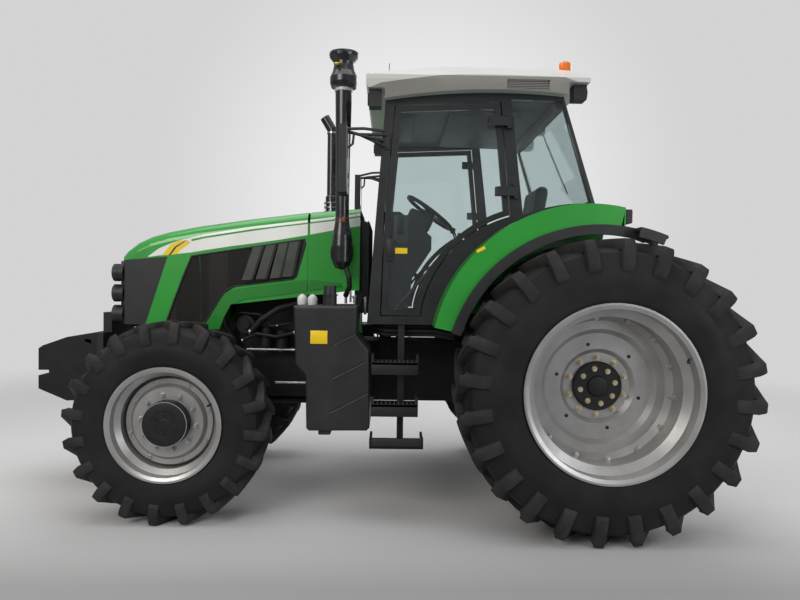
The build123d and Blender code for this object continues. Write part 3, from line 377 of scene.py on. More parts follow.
PAINT = (  # material, CAD nodes
    (cast_black, ("drivetrain", "engine", "front_axle", "knuckle_left", "knuckle_right", "front_weights")),
    (chassis_black, ("front_frame", "steps", "lower_links", "lift_arms", "lift_rods", "drawbar")),
    (hard_chrome, ("steering_rod",)),
    (green_enamel, ("hood_shell", "rear_cowl", "fender_left", "fender_right")),
    (black_plastic, ("nose_grille", "fender_lips", "lamps", "mirrors", "steering_wheel", "headlamps")),
    (mesh_steel, ("side_grilles",)),
    (exhaust_black, ("stacks",)),
    (tank_plastic, ("fuel_tank", "battery_box")),
    (powder_coat, ("cab_frame", "door_left", "door_right")),
    (cab_carpet, ("cab_floor",)),
    (dash_plastic, ("console",)),
    (seat_weave, ("seat",)),
    (white_gelcoat, ("roof",)),
    (tempered_glass, ("fixed_glass", "door_glass_left", "door_glass_right")),
    (tyre_rubber, ("rear_tyre_left", "rear_tyre_right", "front_tyre_left", "front_tyre_right")),
    (silver_enamel, ("rear_rim_left", "rear_rim_right", "front_rim_left", "front_rim_right")),
)
for material, nodes in PAINT:
    for node in nodes:
        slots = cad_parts[node].data.materials
        for number in range(len(slots)):
            slots[number] = material


# ---- Tyres ----
def centre_of(node):
    low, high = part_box(node)
    return (low + high) / 2 / MM


LUG_SWEEP = 0.72  # how far a lug trails round the tyre for each step outwards
LUG_SECTIONS = (-12, 24, 68, 112, 156)  # distances from the middle of the tread, up to its edge
LUG_ROOT = 12  # how deep a lug reaches under the carcass
LUG_DRAFT = 0.2  # how much a lug widens towards its foot for each step down
LUG_ROUND = 4
CROWN_FROM = 10  # the carcass's points from here on lie under the tread
SHOULDER_IN, SHOULDER_UNDER = 26, 14  # where a lug's foot lies on the shoulder, from its face
TREADS = (
    # end, lugs on a side, half tread, tip radius, lug's width,
    # the lug's end down the shoulder and the carcass, both as (distance out, radius)
    (
        "rear", 24, 205, 868, 56,
        ((212, 842), (223, 800), (229.5, 756), (229.5, 714), (225, 692), (216, 680)),
        (
            (213, 510), (219, 522), (222, 536), (224, 560), (228, 590), (229.5, 625), (227, 655), (219, 680),
            (212, 712), (205, 756), (195, 786), (174, 804), (120, 817), (60, 822), (0, 823),
        ),
    ),
    (
        "front", 20, 152, 608, 46,
        ((158, 588), (167, 558), (171.5, 526), (171.5, 498), (168, 484), (161, 474)),
        (
            (156, 347), (161, 357), (164, 368), (166, 384), (170, 406), (171.5, 432), (169, 456), (162, 474),
            (157, 496), (152, 524), (144, 543), (127, 555), (90, 565), (45, 570), (0, 572),
        ),
    ),
)


def crown_at(carcass, across):
    """The carcass's radius at a distance from the middle of the tread."""
    for (far, low), (near, high) in zip(carcass, carcass[1:]):
        if near <= abs(across) <= far and near < far:
            return high + (low - high) * (abs(across) - near) / (far - near)
    return carcass[-1][1]


def trail_at(across):
    """How far round the tyre a lug's middle has fallen back at a distance from the tread's middle."""
    return -LUG_SWEEP * max(across, 0) * (1.12 - 0.0009 * across)


def lug(half_tread, tip, width, shoulder, carcass):
    """One chevron lug from the crown out over the shoulder, drawn flat: X round, Y out, Z the radius."""
    edge = half_tread - 6
    tops = []  # (distance out, radius) of the face, the same under the carcass, half the width, half the foot
    for across in (*LUG_SECTIONS, edge):
        if across <= edge:
            below = crown_at(carcass[CROWN_FROM:], across) - LUG_ROOT
            tops.append(((across, tip), (across, below), width / 2, width / 2 + (tip - below) * LUG_DRAFT))
    for number, (across, radius) in enumerate(shoulder):
        half = width * (0.57 + 0.055 * number)
        foot = (across - SHOULDER_IN, radius - SHOULDER_UNDER)
        tops.append(((across, radius), foot, half, half + width * 0.22))
    bm = bmesh.new()
    rows = []
    for face, foot, half, spread in tops:
        middle = trail_at(min(face[0], edge))
        corners = ((-spread, foot), (-half, face), (half, face), (spread, foot))
        rows.append([bm.verts.new((middle + along, across, radius)) for along, (across, radius) in corners])
    lines = [[bm.edges.new(pair) for pair in zip(line, line[1:])] for line in zip(*rows)]
    for one, two in zip(lines, lines[1:] + lines[:1]):
        bmesh.ops.bridge_loops(bm, edges=one + two)
    bmesh.ops.holes_fill(bm, edges=[edge for edge in bm.edges if edge.is_boundary], sides=4)
    bmesh.ops.recalc_face_normals(bm, faces=bm.faces)
    rounded(bm, [edge for edge in bm.edges if edge.calc_face_angle(0) > 0.5], LUG_ROUND, clamp=True)
    return bm


def tyre(end, side, sign, lugs, half_tread, tip, width, shoulder, carcass):
    """A tyre with two staggered rows of lugs, the outer row half a pitch ahead of the inner one."""
    bm = bmesh.new()
    outline = [(-out, radius) for out, radius in carcass]
    outline += [(out, radius) for out, radius in reversed(carcass[:-1])]
    lathe(bm, (0, 0, 0), outline, sides=144)
    lugs_bm = bmesh.new()
    trail = LUG_SWEEP * half_tread
    corner = (width + 4 + trail) / 2
    height = math.sqrt(tip**2 - corner**2)
    first = math.pi + math.atan2(corner, height) + math.atan2(trail / 2, height)
    for outboard, phase in ((1, math.pi / lugs), (-1, 0)):
        row = lug(half_tread, tip, width, shoulder, carcass)
        for vert in row.verts:  # bend it round the tyre
            angle = vert.co.x / tip + first + phase
            vert.co = (vert.co.z * math.sin(angle), vert.co.y * outboard, vert.co.z * math.cos(angle))
        everything = row.verts[:] + row.edges[:] + row.faces[:]
        bmesh.ops.spin(row, geom=everything, axis=Y, angle=2 * math.pi, steps=lugs, use_duplicate=True)
        join(lugs_bm, row)
    for name, part, material in (("carcass", bm, tyre_rubber), ("lugs", lugs_bm, lug_rubber)):
        bmesh.ops.scale(part, vec=(1, sign, 1), verts=part.verts)
        bmesh.ops.translate(part, verts=part.verts, vec=centre_of(f"{end}_tyre_{side}"))
        made = done(f"{end}_{name}_{side}", part, material, f"wheel_{end}_{side}", 30)
        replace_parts(made, f"{end}_tyre_{side}")


for end, *tread in TREADS:
    for side, sign in SIDES:
        tyre(end, side, sign, *tread)


# ---- Rims: hubs, bolts, clips, holes and valves ----
HUBS = {  # the black cap at each end, as an outline of (distance out, radius)
    "rear": ((-118, 0), (-118, 147), (-97, 147), (-90, 140), (-90, 64), (-78, 58), (-74, 48), (-74, 0)),
    "front": (
        (69, 0), (69, 138), (134, 138), (145, 131), (149, 118), (149, 82), (146, 79), (146, 34),
        (149, 30), (150, 0),
    ),
}
FIXINGS = (  # name, end, distance out, radius, count, bolt across, height, stud past it, start, material
    ("hub_bolts", "rear", -90, 106, 8, 23, 13.8, 0, 0.2, zinc_plate),
    ("hub_bolts", "front", 146, 56, 6, 9, 5.4, 0, 0.0, cast_black),
    ("studs", "rear", -117, 172, 10, 27, 20, 14, 0.0, zinc_plate),
    ("clip_bolts", "rear", -20, 414, 14, 19, 12, 0, 0.1, zinc_plate),
    ("studs", "front", 70, 168, 10, 24, 18, 12, 0.2, bright_zinc),
    ("rim_bolts", "front", 46, 247, 8, 19, 11, 0, 0.3, bright_zinc),
)
VALVES = (("rear", 190, 462), ("front", 140, 305))  # end, distance out, radius
VALVE_TURN = -1.15  # where the valve stands round the rim
CLIP = Vector((15, 12, 14))  # half the size of a rim clip
DOT = Y * 0.6  # half the depth of the dark disc in each hole


def ring_of(bm, middle, out, radius, count, start, draw):
    """Place a small thing round a wheel, at a distance out from the tyre's middle."""
    at = Vector(middle) + Vector((0, out, radius))
    around(bm, middle, Y, count, lambda part: draw(part, at), start)


def fixing(across, high, past, sign):
    """What draws one bolt, with its stud's end where it has one."""
    way = Vector((0, sign, 0))

    def draw(part, at):
        bolt(part, at, way, across, high)
        if past:
            bar(part, at, at + way * (high + past), across * 0.33, 14)

    return draw


for side, sign in SIDES:
    for end, outline in HUBS.items():
        bm = bmesh.new()
        lathe(bm, centre_of(f"{end}_tyre_{side}"), [(sign * along, radius) for along, radius in outline])
        done(f"{end}_hub_{side}", bm, cast_black, f"wheel_{end}_{side}")
    for name, end, out, radius, count, across, high, past, start, material in FIXINGS:
        middle = centre_of(f"{end}_tyre_{side}")
        bm = bmesh.new()
        ring_of(bm, middle, sign * out, radius, count, start, fixing(across, high, past, sign))
        done(f"{end}_{name}_{side}", bm, material, f"wheel_{end}_{side}")
    middle = centre_of(f"rear_tyre_{side}")
    # Each hole in the disc is a dark disc: painted shade seen in the hole.
    bm = bmesh.new()
    ring_of(bm, middle, sign * -91, 257, 6, 0.25, lambda part, at: bar(part, at - DOT, at + DOT, 11, 24))
    done(f"rear_disc_holes_{side}", bm, seal_rubber, f"wheel_rear_{side}")
    bm = bmesh.new()
    ring_of(bm, middle, sign * -14, 424, 14, 0.1, lambda part, at: brick(part, at - CLIP, at + CLIP, 4))
    done(f"rear_rim_clips_{side}", bm, silver_enamel, f"wheel_rear_{side}")
    for end, out, radius in VALVES:
        bm = bmesh.new()
        at = centre_of(f"{end}_tyre_{side}")
        slant = Matrix.Rotation(VALVE_TURN, 4, "Y")
        root = at + slant @ Vector((0, sign * (out - 30), radius + 8))
        tip = at + slant @ Vector((0, sign * (out + 12), radius - 16))
        bar(bm, root, tip, 6, 14)
        bar(bm, tip, tip + Y * (14 * sign), 8, 14)
        done(f"{end}_valve_{side}", bm, seal_rubber, f"wheel_{end}_{side}")


# ---- Stripes and panels that follow the bodywork ----
SKIN_GAP = 0.3  # air between a skin and the solid under it


def patch(node, side, polygon, rise=0.15):
    """The outer skin of a CAD node inside a convex side-view outline, on one side, in millimetres."""
    bm = bmesh.new()
    bm.from_mesh(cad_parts[node].data)
    bmesh.ops.scale(bm, vec=(1000, 1000, 1000), verts=bm.verts)
    bmesh.ops.remove_doubles(bm, verts=bm.verts, dist=0.05)
    bm.normal_update()
    inner = [
        face for face in bm.faces
        if face.normal.y * side < rise or face.calc_center_median().y * side < 0
    ]
    bmesh.ops.delete(bm, geom=inner, context="FACES")
    turned = sum(a[0] * b[1] - b[0] * a[1] for a, b in zip(polygon, polygon[1:] + polygon[:1]))
    for (x1, z1), (x2, z2) in zip(polygon, polygon[1:] + polygon[:1]):
        way = Vector((z2 - z1, 0, x1 - x2)) * (1 if turned > 0 else -1)
        bmesh.ops.bisect_plane(
            bm, geom=bm.verts[:] + bm.edges[:] + bm.faces[:], dist=0.001, plane_co=(x1, 0, z1), plane_no=way,
            clear_outer=True,
        )
    return bm


def skin(name, node, polygons, material, body, thick=0.8, rise=0.15):
    """A thin layer that lies on both sides of a CAD node inside some side-view outlines."""
    bm = bmesh.new()
    for polygon in polygons:
        for _, side in SIDES:
            join(bm, patch(node, side, polygon, rise))
    bmesh.ops.remove_doubles(bm, verts=bm.verts, dist=0.05)
    bm.normal_update()
    for vert in bm.verts:
        vert.co += vert.normal * (thick + SKIN_GAP)
    bmesh.ops.solidify(bm, geom=bm.faces[:], thickness=thick)
    return done(name, bm, material, body, 25)


def hood_side(x):
    """Y of the hood's side, which draws in slowly towards the nose."""
    return 400.5 - max(0, x - 500) * 0.0148


# Side-view outlines, (x, z) in millimetres.
STRIPE_BAND = (  # x, top, foot
    (1280, 1725, 1652), (1194, 1747, 1668), (1025, 1775, 1696), (857, 1803, 1720), (687, 1829, 1746),
    (519, 1851, 1776), (324, 1877, 1815), (140, 1905, 1847),
)
STRIPE_LINE = (
    (1280, 1752, 1740), (1194, 1774, 1759), (857, 1832, 1816), (519, 1877, 1860), (324, 1903, 1888),
    (140, 1930, 1914),
)
STRIPE_TIP = (
    (1572, 1623, 1618), (1497, 1677, 1630), (1440, 1701, 1633), (1362, 1732, 1643), (1280, 1752, 1652),
)


def strips(rows):
    """The quads between neighbouring rows of (x, top, foot)."""
    return [[(a[0], a[1]), (b[0], b[1]), (b[0], b[2]), (a[0], a[2])] for a, b in zip(rows, rows[1:])]


for node, body in (("hood_shell", "hood"), ("rear_cowl", "chassis")):
    skin(f"{node}_stripe", node, strips(STRIPE_BAND) + strips(STRIPE_LINE), white_vinyl, body)
skin("hood_stripe_tip", "hood_shell", strips(STRIPE_TIP), white_vinyl, "hood")
ACCENTS = (  # material, and the lower and upper quad of each curved band on the stripe's tip
    (
        yellow_vinyl,
        [(1476, 1631), (1434, 1632), (1392, 1690), (1424, 1700)],
        [(1424, 1700), (1392, 1690), (1322, 1731), (1362, 1732)],
    ),
    (
        deep_green_line,
        [(1434, 1632), (1418, 1633), (1380, 1684), (1392, 1690)],
        [(1392, 1690), (1380, 1684), (1306, 1734), (1322, 1731)],
    ),
    (
        yellow_vinyl,
        [(1418, 1633), (1376, 1641), (1352, 1668), (1380, 1684)],
        [(1380, 1684), (1352, 1668), (1286, 1716), (1300, 1734)],
    ),
)
for number, (material, *quads) in enumerate(ACCENTS):
    skin(f"hood_flash_{number}", "hood_shell", quads, material, "hood", 1.2)

BAND = (  # upper and lower points of the raised band, from the nose to the rear
    ((1204, 1130), (1073, 1130)),
    ((1125, 1256), (1030, 1262)),
    ((1078, 1350), (992, 1316)),
    ((1035, 1402), (920, 1346)),
    ((853, 1431), (683, 1379)),
    ((684, 1456), (560, 1398)),
    ((565, 1474), (507, 1406)),
    ((507, 1480), (500, 1407)),
)
COWL_BAND = (((500, 1480), (500, 1407)), ((470, 1481), (412, 1422)), ((286, 1462), (268, 1442)))


def quads_of(pairs):
    return [[a[0], b[0], b[1], a[1]] for a, b in zip(pairs, pairs[1:])]


# The raised bands carry the darker green, painted shade on the same enamel as the hood.
skin("hood_lower_band", "hood_shell", quads_of(BAND), shaded_band_enamel, "hood", 7)
skin("cowl_lower_band", "rear_cowl", quads_of(COWL_BAND), shaded_band_enamel, "chassis", 7)

# A green flange that closes the gap between the hood and the cowl.
bm = bmesh.new()
for _, side in SIDES:
    side_plate(bm, [(484, 1384), (508, 1380), (508, 1858), (484, 1858)], (side * 391, side * 396.5))
plate(bm, [(485, -330, 1926), (510, -330, 1924), (510, 330, 1924), (485, 330, 1926)], (0, 0, 4))
done("hood_flange", bm, green_enamel)

# The side screens run forward to the green strip behind the nose, over the shell.
SCREEN_FRONT = [(1226, 1636), (1277, 1626), (1330, 1500), (1386, 1350), (1446, 1176), (1196, 1176)]
skin("hood_screen_fronts", "hood_shell", [SCREEN_FRONT], mesh_steel, "hood", 1.0)
SCREEN_EDGE = (
    (1277, 1628), (923, 1686), (526, 1750), (520, 1716), (578, 1504), (600, 1484), (985, 1431), (1040, 1408),
    (1078, 1362), (1190, 1176),
)
SCREEN_NOSE = ((1277, 1628), (1330, 1500), (1386, 1350), (1446, 1180))
FRAME_RADIUS = 6  # of the wire round each screen
bm = bmesh.new()
for line in (SCREEN_EDGE, SCREEN_NOSE):
    corners = [Vector((x, hood_side(x), z)) for x, z in line]
    for start, end in zip(corners, corners[1:]):
        bar(bm, start, end, FRAME_RADIUS, 10)
        if line is SCREEN_EDGE:
            knee = Matrix.Translation(start)
            bmesh.ops.create_icosphere(bm, subdivisions=2, radius=FRAME_RADIUS, matrix=knee)
done("grille_frames", bm, black_plastic, "hood", mirror=True)

# Louvres over the rear of the side screens, the blades lighter partly as a painted highlight, with a dark
# strip on each blade's rear edge as painted shadow in the slot.
LOUVRES = (  # top x, top z, foot x, foot z of each blade's rear edge
    (788, 1705, 862, 1478), (703, 1716, 769, 1485), (619, 1729, 676, 1493), (545, 1740, 594, 1503),
)
BLADE_WIDTH, BLADE_THICK, BLADE_REAR_Y, BLADE_FRONT_Y = 76, 7, 411, 417
blades, slot_shadows = bmesh.new(), bmesh.new()
for top_x, top_z, foot_x, foot_z in LOUVRES:
    corners = [
        (top_x + BLADE_WIDTH, BLADE_FRONT_Y, top_z - 12), (foot_x + BLADE_WIDTH, BLADE_FRONT_Y, foot_z - 6),
        (foot_x, BLADE_REAR_Y, foot_z), (top_x, BLADE_REAR_Y, top_z),
    ]
    plate(blades, corners, (0, -BLADE_THICK, 0), 2)
    # Each dark strip is painted shadow of the slot between two blades.
    slot = [(top_x, top_z), (top_x + 17, top_z - 3), (foot_x + 15, foot_z - 1), (foot_x, foot_z)]
    side_plate(slot_shadows, slot, (408, 414))
done("grille_louvres", blades, louvre_plastic_and_highlight, "hood", mirror=True)
done("grille_louvre_shadows", slot_shadows, seal_rubber, "hood", mirror=True)

# ---- Nose: lamps, bezels and the middle grille ----
LAMP_Y, LAMP_HEIGHTS, LAMP_FRONT = 250, (1512, 1372, 1231), 1838
BAR_PITCH = 24  # between the nose grille's bars
bezels, lenses = bmesh.new(), bmesh.new()
for _, side in SIDES:
    for z in LAMP_HEIGHTS:
        middle = (LAMP_FRONT, side * LAMP_Y, z)
        lathe(bezels, middle, [(-30, 60), (4, 60), (6, 57), (6, 50), (-2, 47), (-2, 0)], X, 40)
        lathe(lenses, middle, [(-1, 47), (4, 46), (7, 32), (8.5, 14), (9, 0)], X, 40)
done("lamp_bezels", bezels, black_plastic, "hood")
done("lamp_lenses", lenses, lamp_acrylic, "hood")

bm = bmesh.new()
for z in range(1190, 1190 + 17 * BAR_PITCH, BAR_PITCH):
    brick(bm, (1800, -168, z), (1836, 168, z + 8), 2)
for y in (-170, -85, 0, 85, 170):
    brick(bm, (1798, y - 5, 1180), (1832, y + 5, 1594), 2)
done("nose_bars", bm, black_plastic, "hood")

# ---- Roof ----
FASCIA = [
    (103, 2636), (20, 2668), (-169, 2694), (-446, 2727), (-762, 2733), (-1079, 2717), (-1190, 2680),
    (-1240, 2640), (-1240, 2560), (103, 2560),
]
# The fascia's warm grey is partly painted shade on the roof's sides.
skin("roof_fascia", "roof", [FASCIA], grey_gelcoat_and_shade, "chassis", 1.0, 0.3)
bm = bmesh.new()
for z in range(2650, 2700, 10):
    brick(bm, (-990, 822, z), (-737, 827, z + 3), 1)
done("roof_vent_blades", bm, seal_rubber, mirror=True)
bm = bmesh.new()
side_plate(bm, [(-1004, 2642), (-722, 2644), (-744, 2704), (-984, 2702)], (819, 823))
done("roof_vent_backs", bm, seal_rubber, mirror=True)

bm = bmesh.new()
BEACON = [(0, 0), (0, 44), (9, 44), (11, 39.5), (80, 38.5), (92, 33), (99, 20), (102, 0)]
lathe(bm, (-1150, 560, 2802), BEACON, Z, 36)
done("beacon_lens", bm, amber_lens)
bm = bmesh.new()
bar(bm, (-20, 500, 2786), (-20, 500, 2800), 14)
bar(bm, (-20, 500, 2800), (-26, 500, 2890), 2.2, 10)
done("roof_aerial", bm, seal_rubber)

# ---- Work lamps: lens and bezel on each box ----
bezels, lenses = bmesh.new(), bmesh.new()
for x, way, y, z in ((96, 1, 745, 2588), (-1228, -1, 740, 2644)):
    for _, side in SIDES:
        middle = (x, side * y, z)
        lathe(bezels, middle, [(0, 38), (way * 8, 38), (way * 8, 33), (way * 2, 31), (way * 2, 0)], X, 36)
        lathe(lenses, middle, [(way * 2, 31), (way * 5, 28), (way * 7, 14), (way * 7.5, 0)], X, 36)
done("work_lamp_bezels", bezels, black_plastic)
done("work_lamp_lenses", lenses, lamp_acrylic)

# ---- Tail lamps ----
bm = bmesh.new()
brick(bm, (-1459, 846, 1842), (-1452, 908, 1910), 3)
done("tail_lenses", bm, red_lens, mirror=True)
bm = bmesh.new()
brick(bm, (-1459, 912, 1842), (-1452, 974, 1910), 3)
done("turn_lenses", bm, amber_lens, mirror=True)
bm = bmesh.new()
side_plate(bm, [(-591, 1690), (-543, 1665), (-549, 1648), (-598, 1673)], (1000.2, 1002))
done("fender_reflectors", bm, yellow_vinyl, mirror=True)

# ---- Mirrors ----
bm = bmesh.new()
brick(bm, (211, 797, 1998), (216, 983, 2372), 2)
done("mirror_faces", bm, mirror_silver, mirror=True)

# ---- Doors: handle, latch box, label and pull ----
def on_side(bm, sign):
    """Mirror what is drawn for the left side where the right side is wanted."""
    if sign < 0:
        bmesh.ops.scale(bm, vec=(1, -1, 1), verts=bm.verts)
    return bm


for side, sign in SIDES:
    body = f"door_{side}"
    bm = bmesh.new()
    brick(bm, (-158, 700, 1712), (-64, 722, 1890), 6)
    brick(bm, (-144, 688, 1750), (-90, 702, 1860), 5)
    brick(bm, (-128, 722, 1770), (-86, 727, 1880), 2)
    done(f"door_latch_{side}", on_side(bm, sign), black_plastic, body)
    bm = bmesh.new()
    brick(bm, (-70, 742, 1600), (-22, 750, 1740), 4)
    brick(bm, (-60, 750, 1628), (-34, 762, 1722), 5)
    bar(bm, (-46, 750, 1618), (-46, 757, 1618), 9)
    done(f"door_handle_{side}", on_side(bm, sign), black_plastic, body)
    bm = bmesh.new()
    side_plate(bm, [(-152, 1650), (-76, 1650), (-76, 1685), (-152, 1685)], (731.5, 732.5))
    done(f"door_label_{side}", on_side(bm, sign), yellow_vinyl, body)
    bm = bmesh.new()
    pipe(bm, [(-80, 690, 1300), (-300, 672, 1560), (-560, 672, 1700)], 10)
    done(f"door_pull_{side}", on_side(bm, sign), black_plastic, body)

# ---- Wipers ----
bm = bmesh.new()
pipe(bm, [(12, 0, 2536), (-4, 20, 2480), (34, 210, 2060)], 5)
bar(bm, (-12, 20, 2500), (20, 270, 2010), 5, 8)
brick(bm, (-10, -40, 2530), (26, 40, 2562), 6)
done("front_wiper", bm, powder_coat)
bm = bmesh.new()
brick(bm, (-1160, -40, 2560), (-1122, 40, 2600), 6)
pipe(bm, [(-1150, 0, 2570), (-1180, 10, 2480), (-1262, 160, 2180)], 5)
bar(bm, (-1180, 10, 2490), (-1278, 220, 2110), 5, 8)
done("rear_wiper", bm, powder_coat)

# ---- Inside the cab ----
bm = bmesh.new()
brick(bm, (-1090, -690, 2600), (-30, 690, 2612), 5)
brick(bm, (-200, -380, 2566), (-60, 380, 2602), 14)
brick(bm, (-900, -500, 2560), (-420, 500, 2604), 20)
done("headliner", bm, grey_trim)
bm = bmesh.new()
brick(bm, (-1000, -620, 1482), (-520, -300, 1690), 30)
brick(bm, (-860, -600, 1690), (-520, -320, 1740), 20)
brick(bm, (-1180, 300, 1482), (-700, 640, 1640), 30)
brick(bm, (-1260, -680, 1482), (-1110, 680, 1900), 20)
done("side_consoles", bm, dash_plastic)
bm = bmesh.new()
LEVERS = (  # x, y, top, how far it leans
    (-560, -360, 1880, 30), (-610, -400, 1850, 20), (-660, -440, 1850, 20), (-600, -520, 1900, 45),
    (-700, -520, 1840, 20), (-760, -440, 1830, 10),
)
for x, y, high, lean in LEVERS:
    pipe(bm, [(x, y, 1735), (x, y, 1800), (x + lean, y, high)], 6)
    ball(bm, (x + lean, y, high), 17, (1, 1, 1.3))
for y in (-150, -60, 150):
    pipe(bm, [(-215, y, 1560), (-290, y, 1420), (-330, y, 1330)], 8)
    brick(bm, (-360, y - 34, 1316), (-300, y + 34, 1330), 5)
done("levers_and_pedals", bm, seal_rubber)
bm = bmesh.new()
dash_turn = Matrix.Rotation(math.radians(-24), 4, "Y")
brick(bm, (-330, -170, 1820), (-150, 170, 1975), 24, 3, dash_turn.to_quaternion())
done("dash_binnacle", bm, dash_plastic)
bm = bmesh.new()
for y, radius in ((-85, 42), (85, 42), (0, 30)):
    face = dash_turn @ Vector((-91, 0, 26)) + Vector((-240, y, 1897.5))
    way = dash_turn @ Vector((-1, 0, 0))
    bar(bm, face, face + way * 3, radius, 32)
done("dash_dials", bm, white_gelcoat)

# ---- Fuel tank and battery box ----
TANK_OUT = 860  # Y of both boxes' outer faces
GROOVES = ((283, 1106, 153, 1172), (297, 899, 96, 1003), (307, 695, 77, 815))  # x, z of both ends
GROOVE_WIDE, RIDGE_DOWN = 15, 19  # a groove's width, and how far under it its ridge runs
CAP_AT = (320, 750)
groove_shades, details = bmesh.new(), bmesh.new()
for x1, z1, x2, z2 in GROOVES:
    # A flat dark strip on the tank's face stands for each groove: painted shade in the groove.
    strip = [(x1, z1), (x1, z1 - GROOVE_WIDE), (x2, z2 - GROOVE_WIDE), (x2, z2)]
    side_plate(groove_shades, strip, (TANK_OUT - 0.3, TANK_OUT + 1))
    bar(details, (x1 - 2, TANK_OUT - 1, z1 - RIDGE_DOWN), (x2 - 2, TANK_OUT - 1, z2 - RIDGE_DOWN), 5, 8)
done("tank_groove_shades", groove_shades, seal_rubber)
brick(details, (300, 560, 540), (376, 830, 575), 8)
bar(details, (*CAP_AT, 1385), (*CAP_AT, 1392), 50, 32)
bar(details, (*CAP_AT, 1392), (*CAP_AT, 1445), 40, 28, 36)
done("tank_details", details, tank_plastic)
bm = bmesh.new()
side_plate(bm, [(323, 1097), (425, 1097), (425, 1176), (323, 1176)], (TANK_OUT - 0.3, TANK_OUT + 0.9), 0.3)
done("tank_label", bm, yellow_vinyl)
bm = bmesh.new()
for z in (760, 980):
    brick(bm, (76, -TANK_OUT - 3, z), (504, -TANK_OUT + 12, z + 34), 3)
brick(bm, (86, -TANK_OUT + 20, 1112), (494, -500, 1132), 8)
bar(bm, (200, -TANK_OUT - 6, 1090), (380, -TANK_OUT - 6, 1090), 7)
done("battery_box_straps", bm, powder_coat)

# Pale reservoirs and fittings between the tank and the hood.
bm = bmesh.new()
for x, y in ((510, 600), (440, 640)):
    lathe(bm, (x, y, 1322), [(0, 0), (0, 30), (40, 32), (52, 26), (62, 15), (70, 0)], Z, 28)
done("reservoirs", bm, white_gelcoat)
bm = bmesh.new()
FITTINGS = (  # x, y, foot, top, radius
    (238, 520, 1330, 1392, 9), (205, 560, 1340, 1400, 7), (110, 560, 1262, 1362, 9),
    (175, 600, 1335, 1372, 12),
)
for x, y, low, high, radius in FITTINGS:
    bar(bm, (x, y, low), (x, y, high), radius, 14)
    bar(bm, (x, y, high), (x + 6, y, high + 12), radius * 1.35, 6)
done("hydraulic_fittings", bm, bright_zinc)

# ---- Steps ----
bm = bmesh.new()
for top, outer in ((990, 850), (735, 850), (500, 930)):
    for y in range(740, outer - 10, 24):
        for x in range(-215, 50, 26):
            bar(bm, (x, y, top - 1), (x, y, top + 4), 6, 8, 4)
done("step_studs", bm, chassis_black)
bm = bmesh.new()
for top in (990, 735):
    brick(bm, (-227, 842, top - 76), (58, 850, top), 3)
brick(bm, (-258, 918, 484), (63, 930, 545), 4)
done("step_faces", bm, chassis_black)

# ---- Intake and exhaust ----
INTAKE_AT, EXHAUST_AT = (266, 550), (430, -500)
GUARD_PITCH = 36  # between the rings of the exhaust's guard
bm = bmesh.new()
lathe(bm, (*INTAKE_AT, 2686), [(0, 53.5), (2, 57), (22, 57), (24, 53.5)], Z, 40)
done("intake_ring", bm, white_gelcoat)
bm = bmesh.new()
for z in (1852, 1872):
    lathe(bm, (*INTAKE_AT, z), [(0, 44), (0, 48), (8, 48), (8, 44)], Z, 36)
brick(bm, (240, 596, 1848), (262, 612, 1884), 3)
done("intake_clamps", bm, red_clamp)
bm = bmesh.new()
ball(bm, (266, 545, 1660), 74, (1.0, 0.8, 1.5))
pipe(bm, [(240, 560, 1575), (215, 585, 1500), (212, 570, 1440), (240, 520, 1380)], 17)
done("intake_elbow", bm, seal_rubber)
bm = bmesh.new()
brick(bm, (292, 604, 2838), (318, 640, 2846), 2)
done("intake_mark", bm, yellow_vinyl)
bm = bmesh.new()
x, y = EXHAUST_AT
for z in range(1700, 1700 + 12 * GUARD_PITCH, GUARD_PITCH):
    lathe(bm, (x, y, z), [(0, 56), (0, 60), (8, 60), (8, 56)], Z, 36)
around(bm, (x, y, 0), Z, 8, lambda part: brick(part, (x + 54, y - 5, 1690), (x + 58, y + 5, 2110), 1))
done("exhaust_guard", bm, brushed_steel)
bm = bmesh.new()
lathe(bm, (x, y, 2652), [(0, 38.5), (0, 43), (12, 43), (12, 38.5)], Z, 36)
done("exhaust_clamp", bm, bright_zinc)

# ---- Mirror arms and the lamp's cable ----
bm = bmesh.new()
for _, side in SIDES:
    pipe(bm, [(10, side * 752, 2396), (120, side * 800, 2398), (232, side * 862, 2380)], 9)
    pipe(bm, [(4, side * 752, 2338), (120, side * 806, 2352), (232, side * 862, 2366)], 9)
    ball(bm, (226, side * 862, 2372), 17)
    pipe(bm, [(180, side * 842, 2366), (186, side * 846, 2296), (222, side * 862, 2262)], 7)
done("mirror_braces", bm, powder_coat)
bm = bmesh.new()
for _, side in SIDES:
    pipe(bm, [(-1196, side * 742, 2676), (-1186, side * 745, 2702), (-1168, side * 742, 2700)], 4)
done("lamp_cables", bm, seal_rubber)

# ---- Lines and mounts under the cab's sill ----
bm = bmesh.new()
for _, side in SIDES:
    for y, z, radius in ((640, 1142, 13), (660, 1168, 15), (645, 1194, 13)):
        way = ((-460, y, z - 20), (-330, y, z), (-20, y, z), (60, y - 40, z + 16))
        pipe(bm, [(x, side * y, z) for x, y, z in way], radius)
    for x in (-20, -420):
        bar(bm, (x, side * 600, 1140), (x, side * 600, 1212), 52, 28)
done("cab_underside_lines", bm, seal_rubber)

# A dark ribbed rubber block fills the space between the cowl and the cab: painted shade in that gap.
bm = bmesh.new()
brick(bm, (93, -366, 1262), (158, 366, 1876), 6)
for x in (99, 119, 139):
    brick(bm, (x, -372, 1268), (x + 8, 372, 1882), 3)
done("cowl_gap_shade", bm, seal_rubber)

# The rear edge of each lip is rolled.
bm = bmesh.new()
bar(bm, (-1601, 764, 1748), (-1601, 1116, 1748), 12, 16)
done("lip_rear_edges", bm, black_plastic, mirror=True)

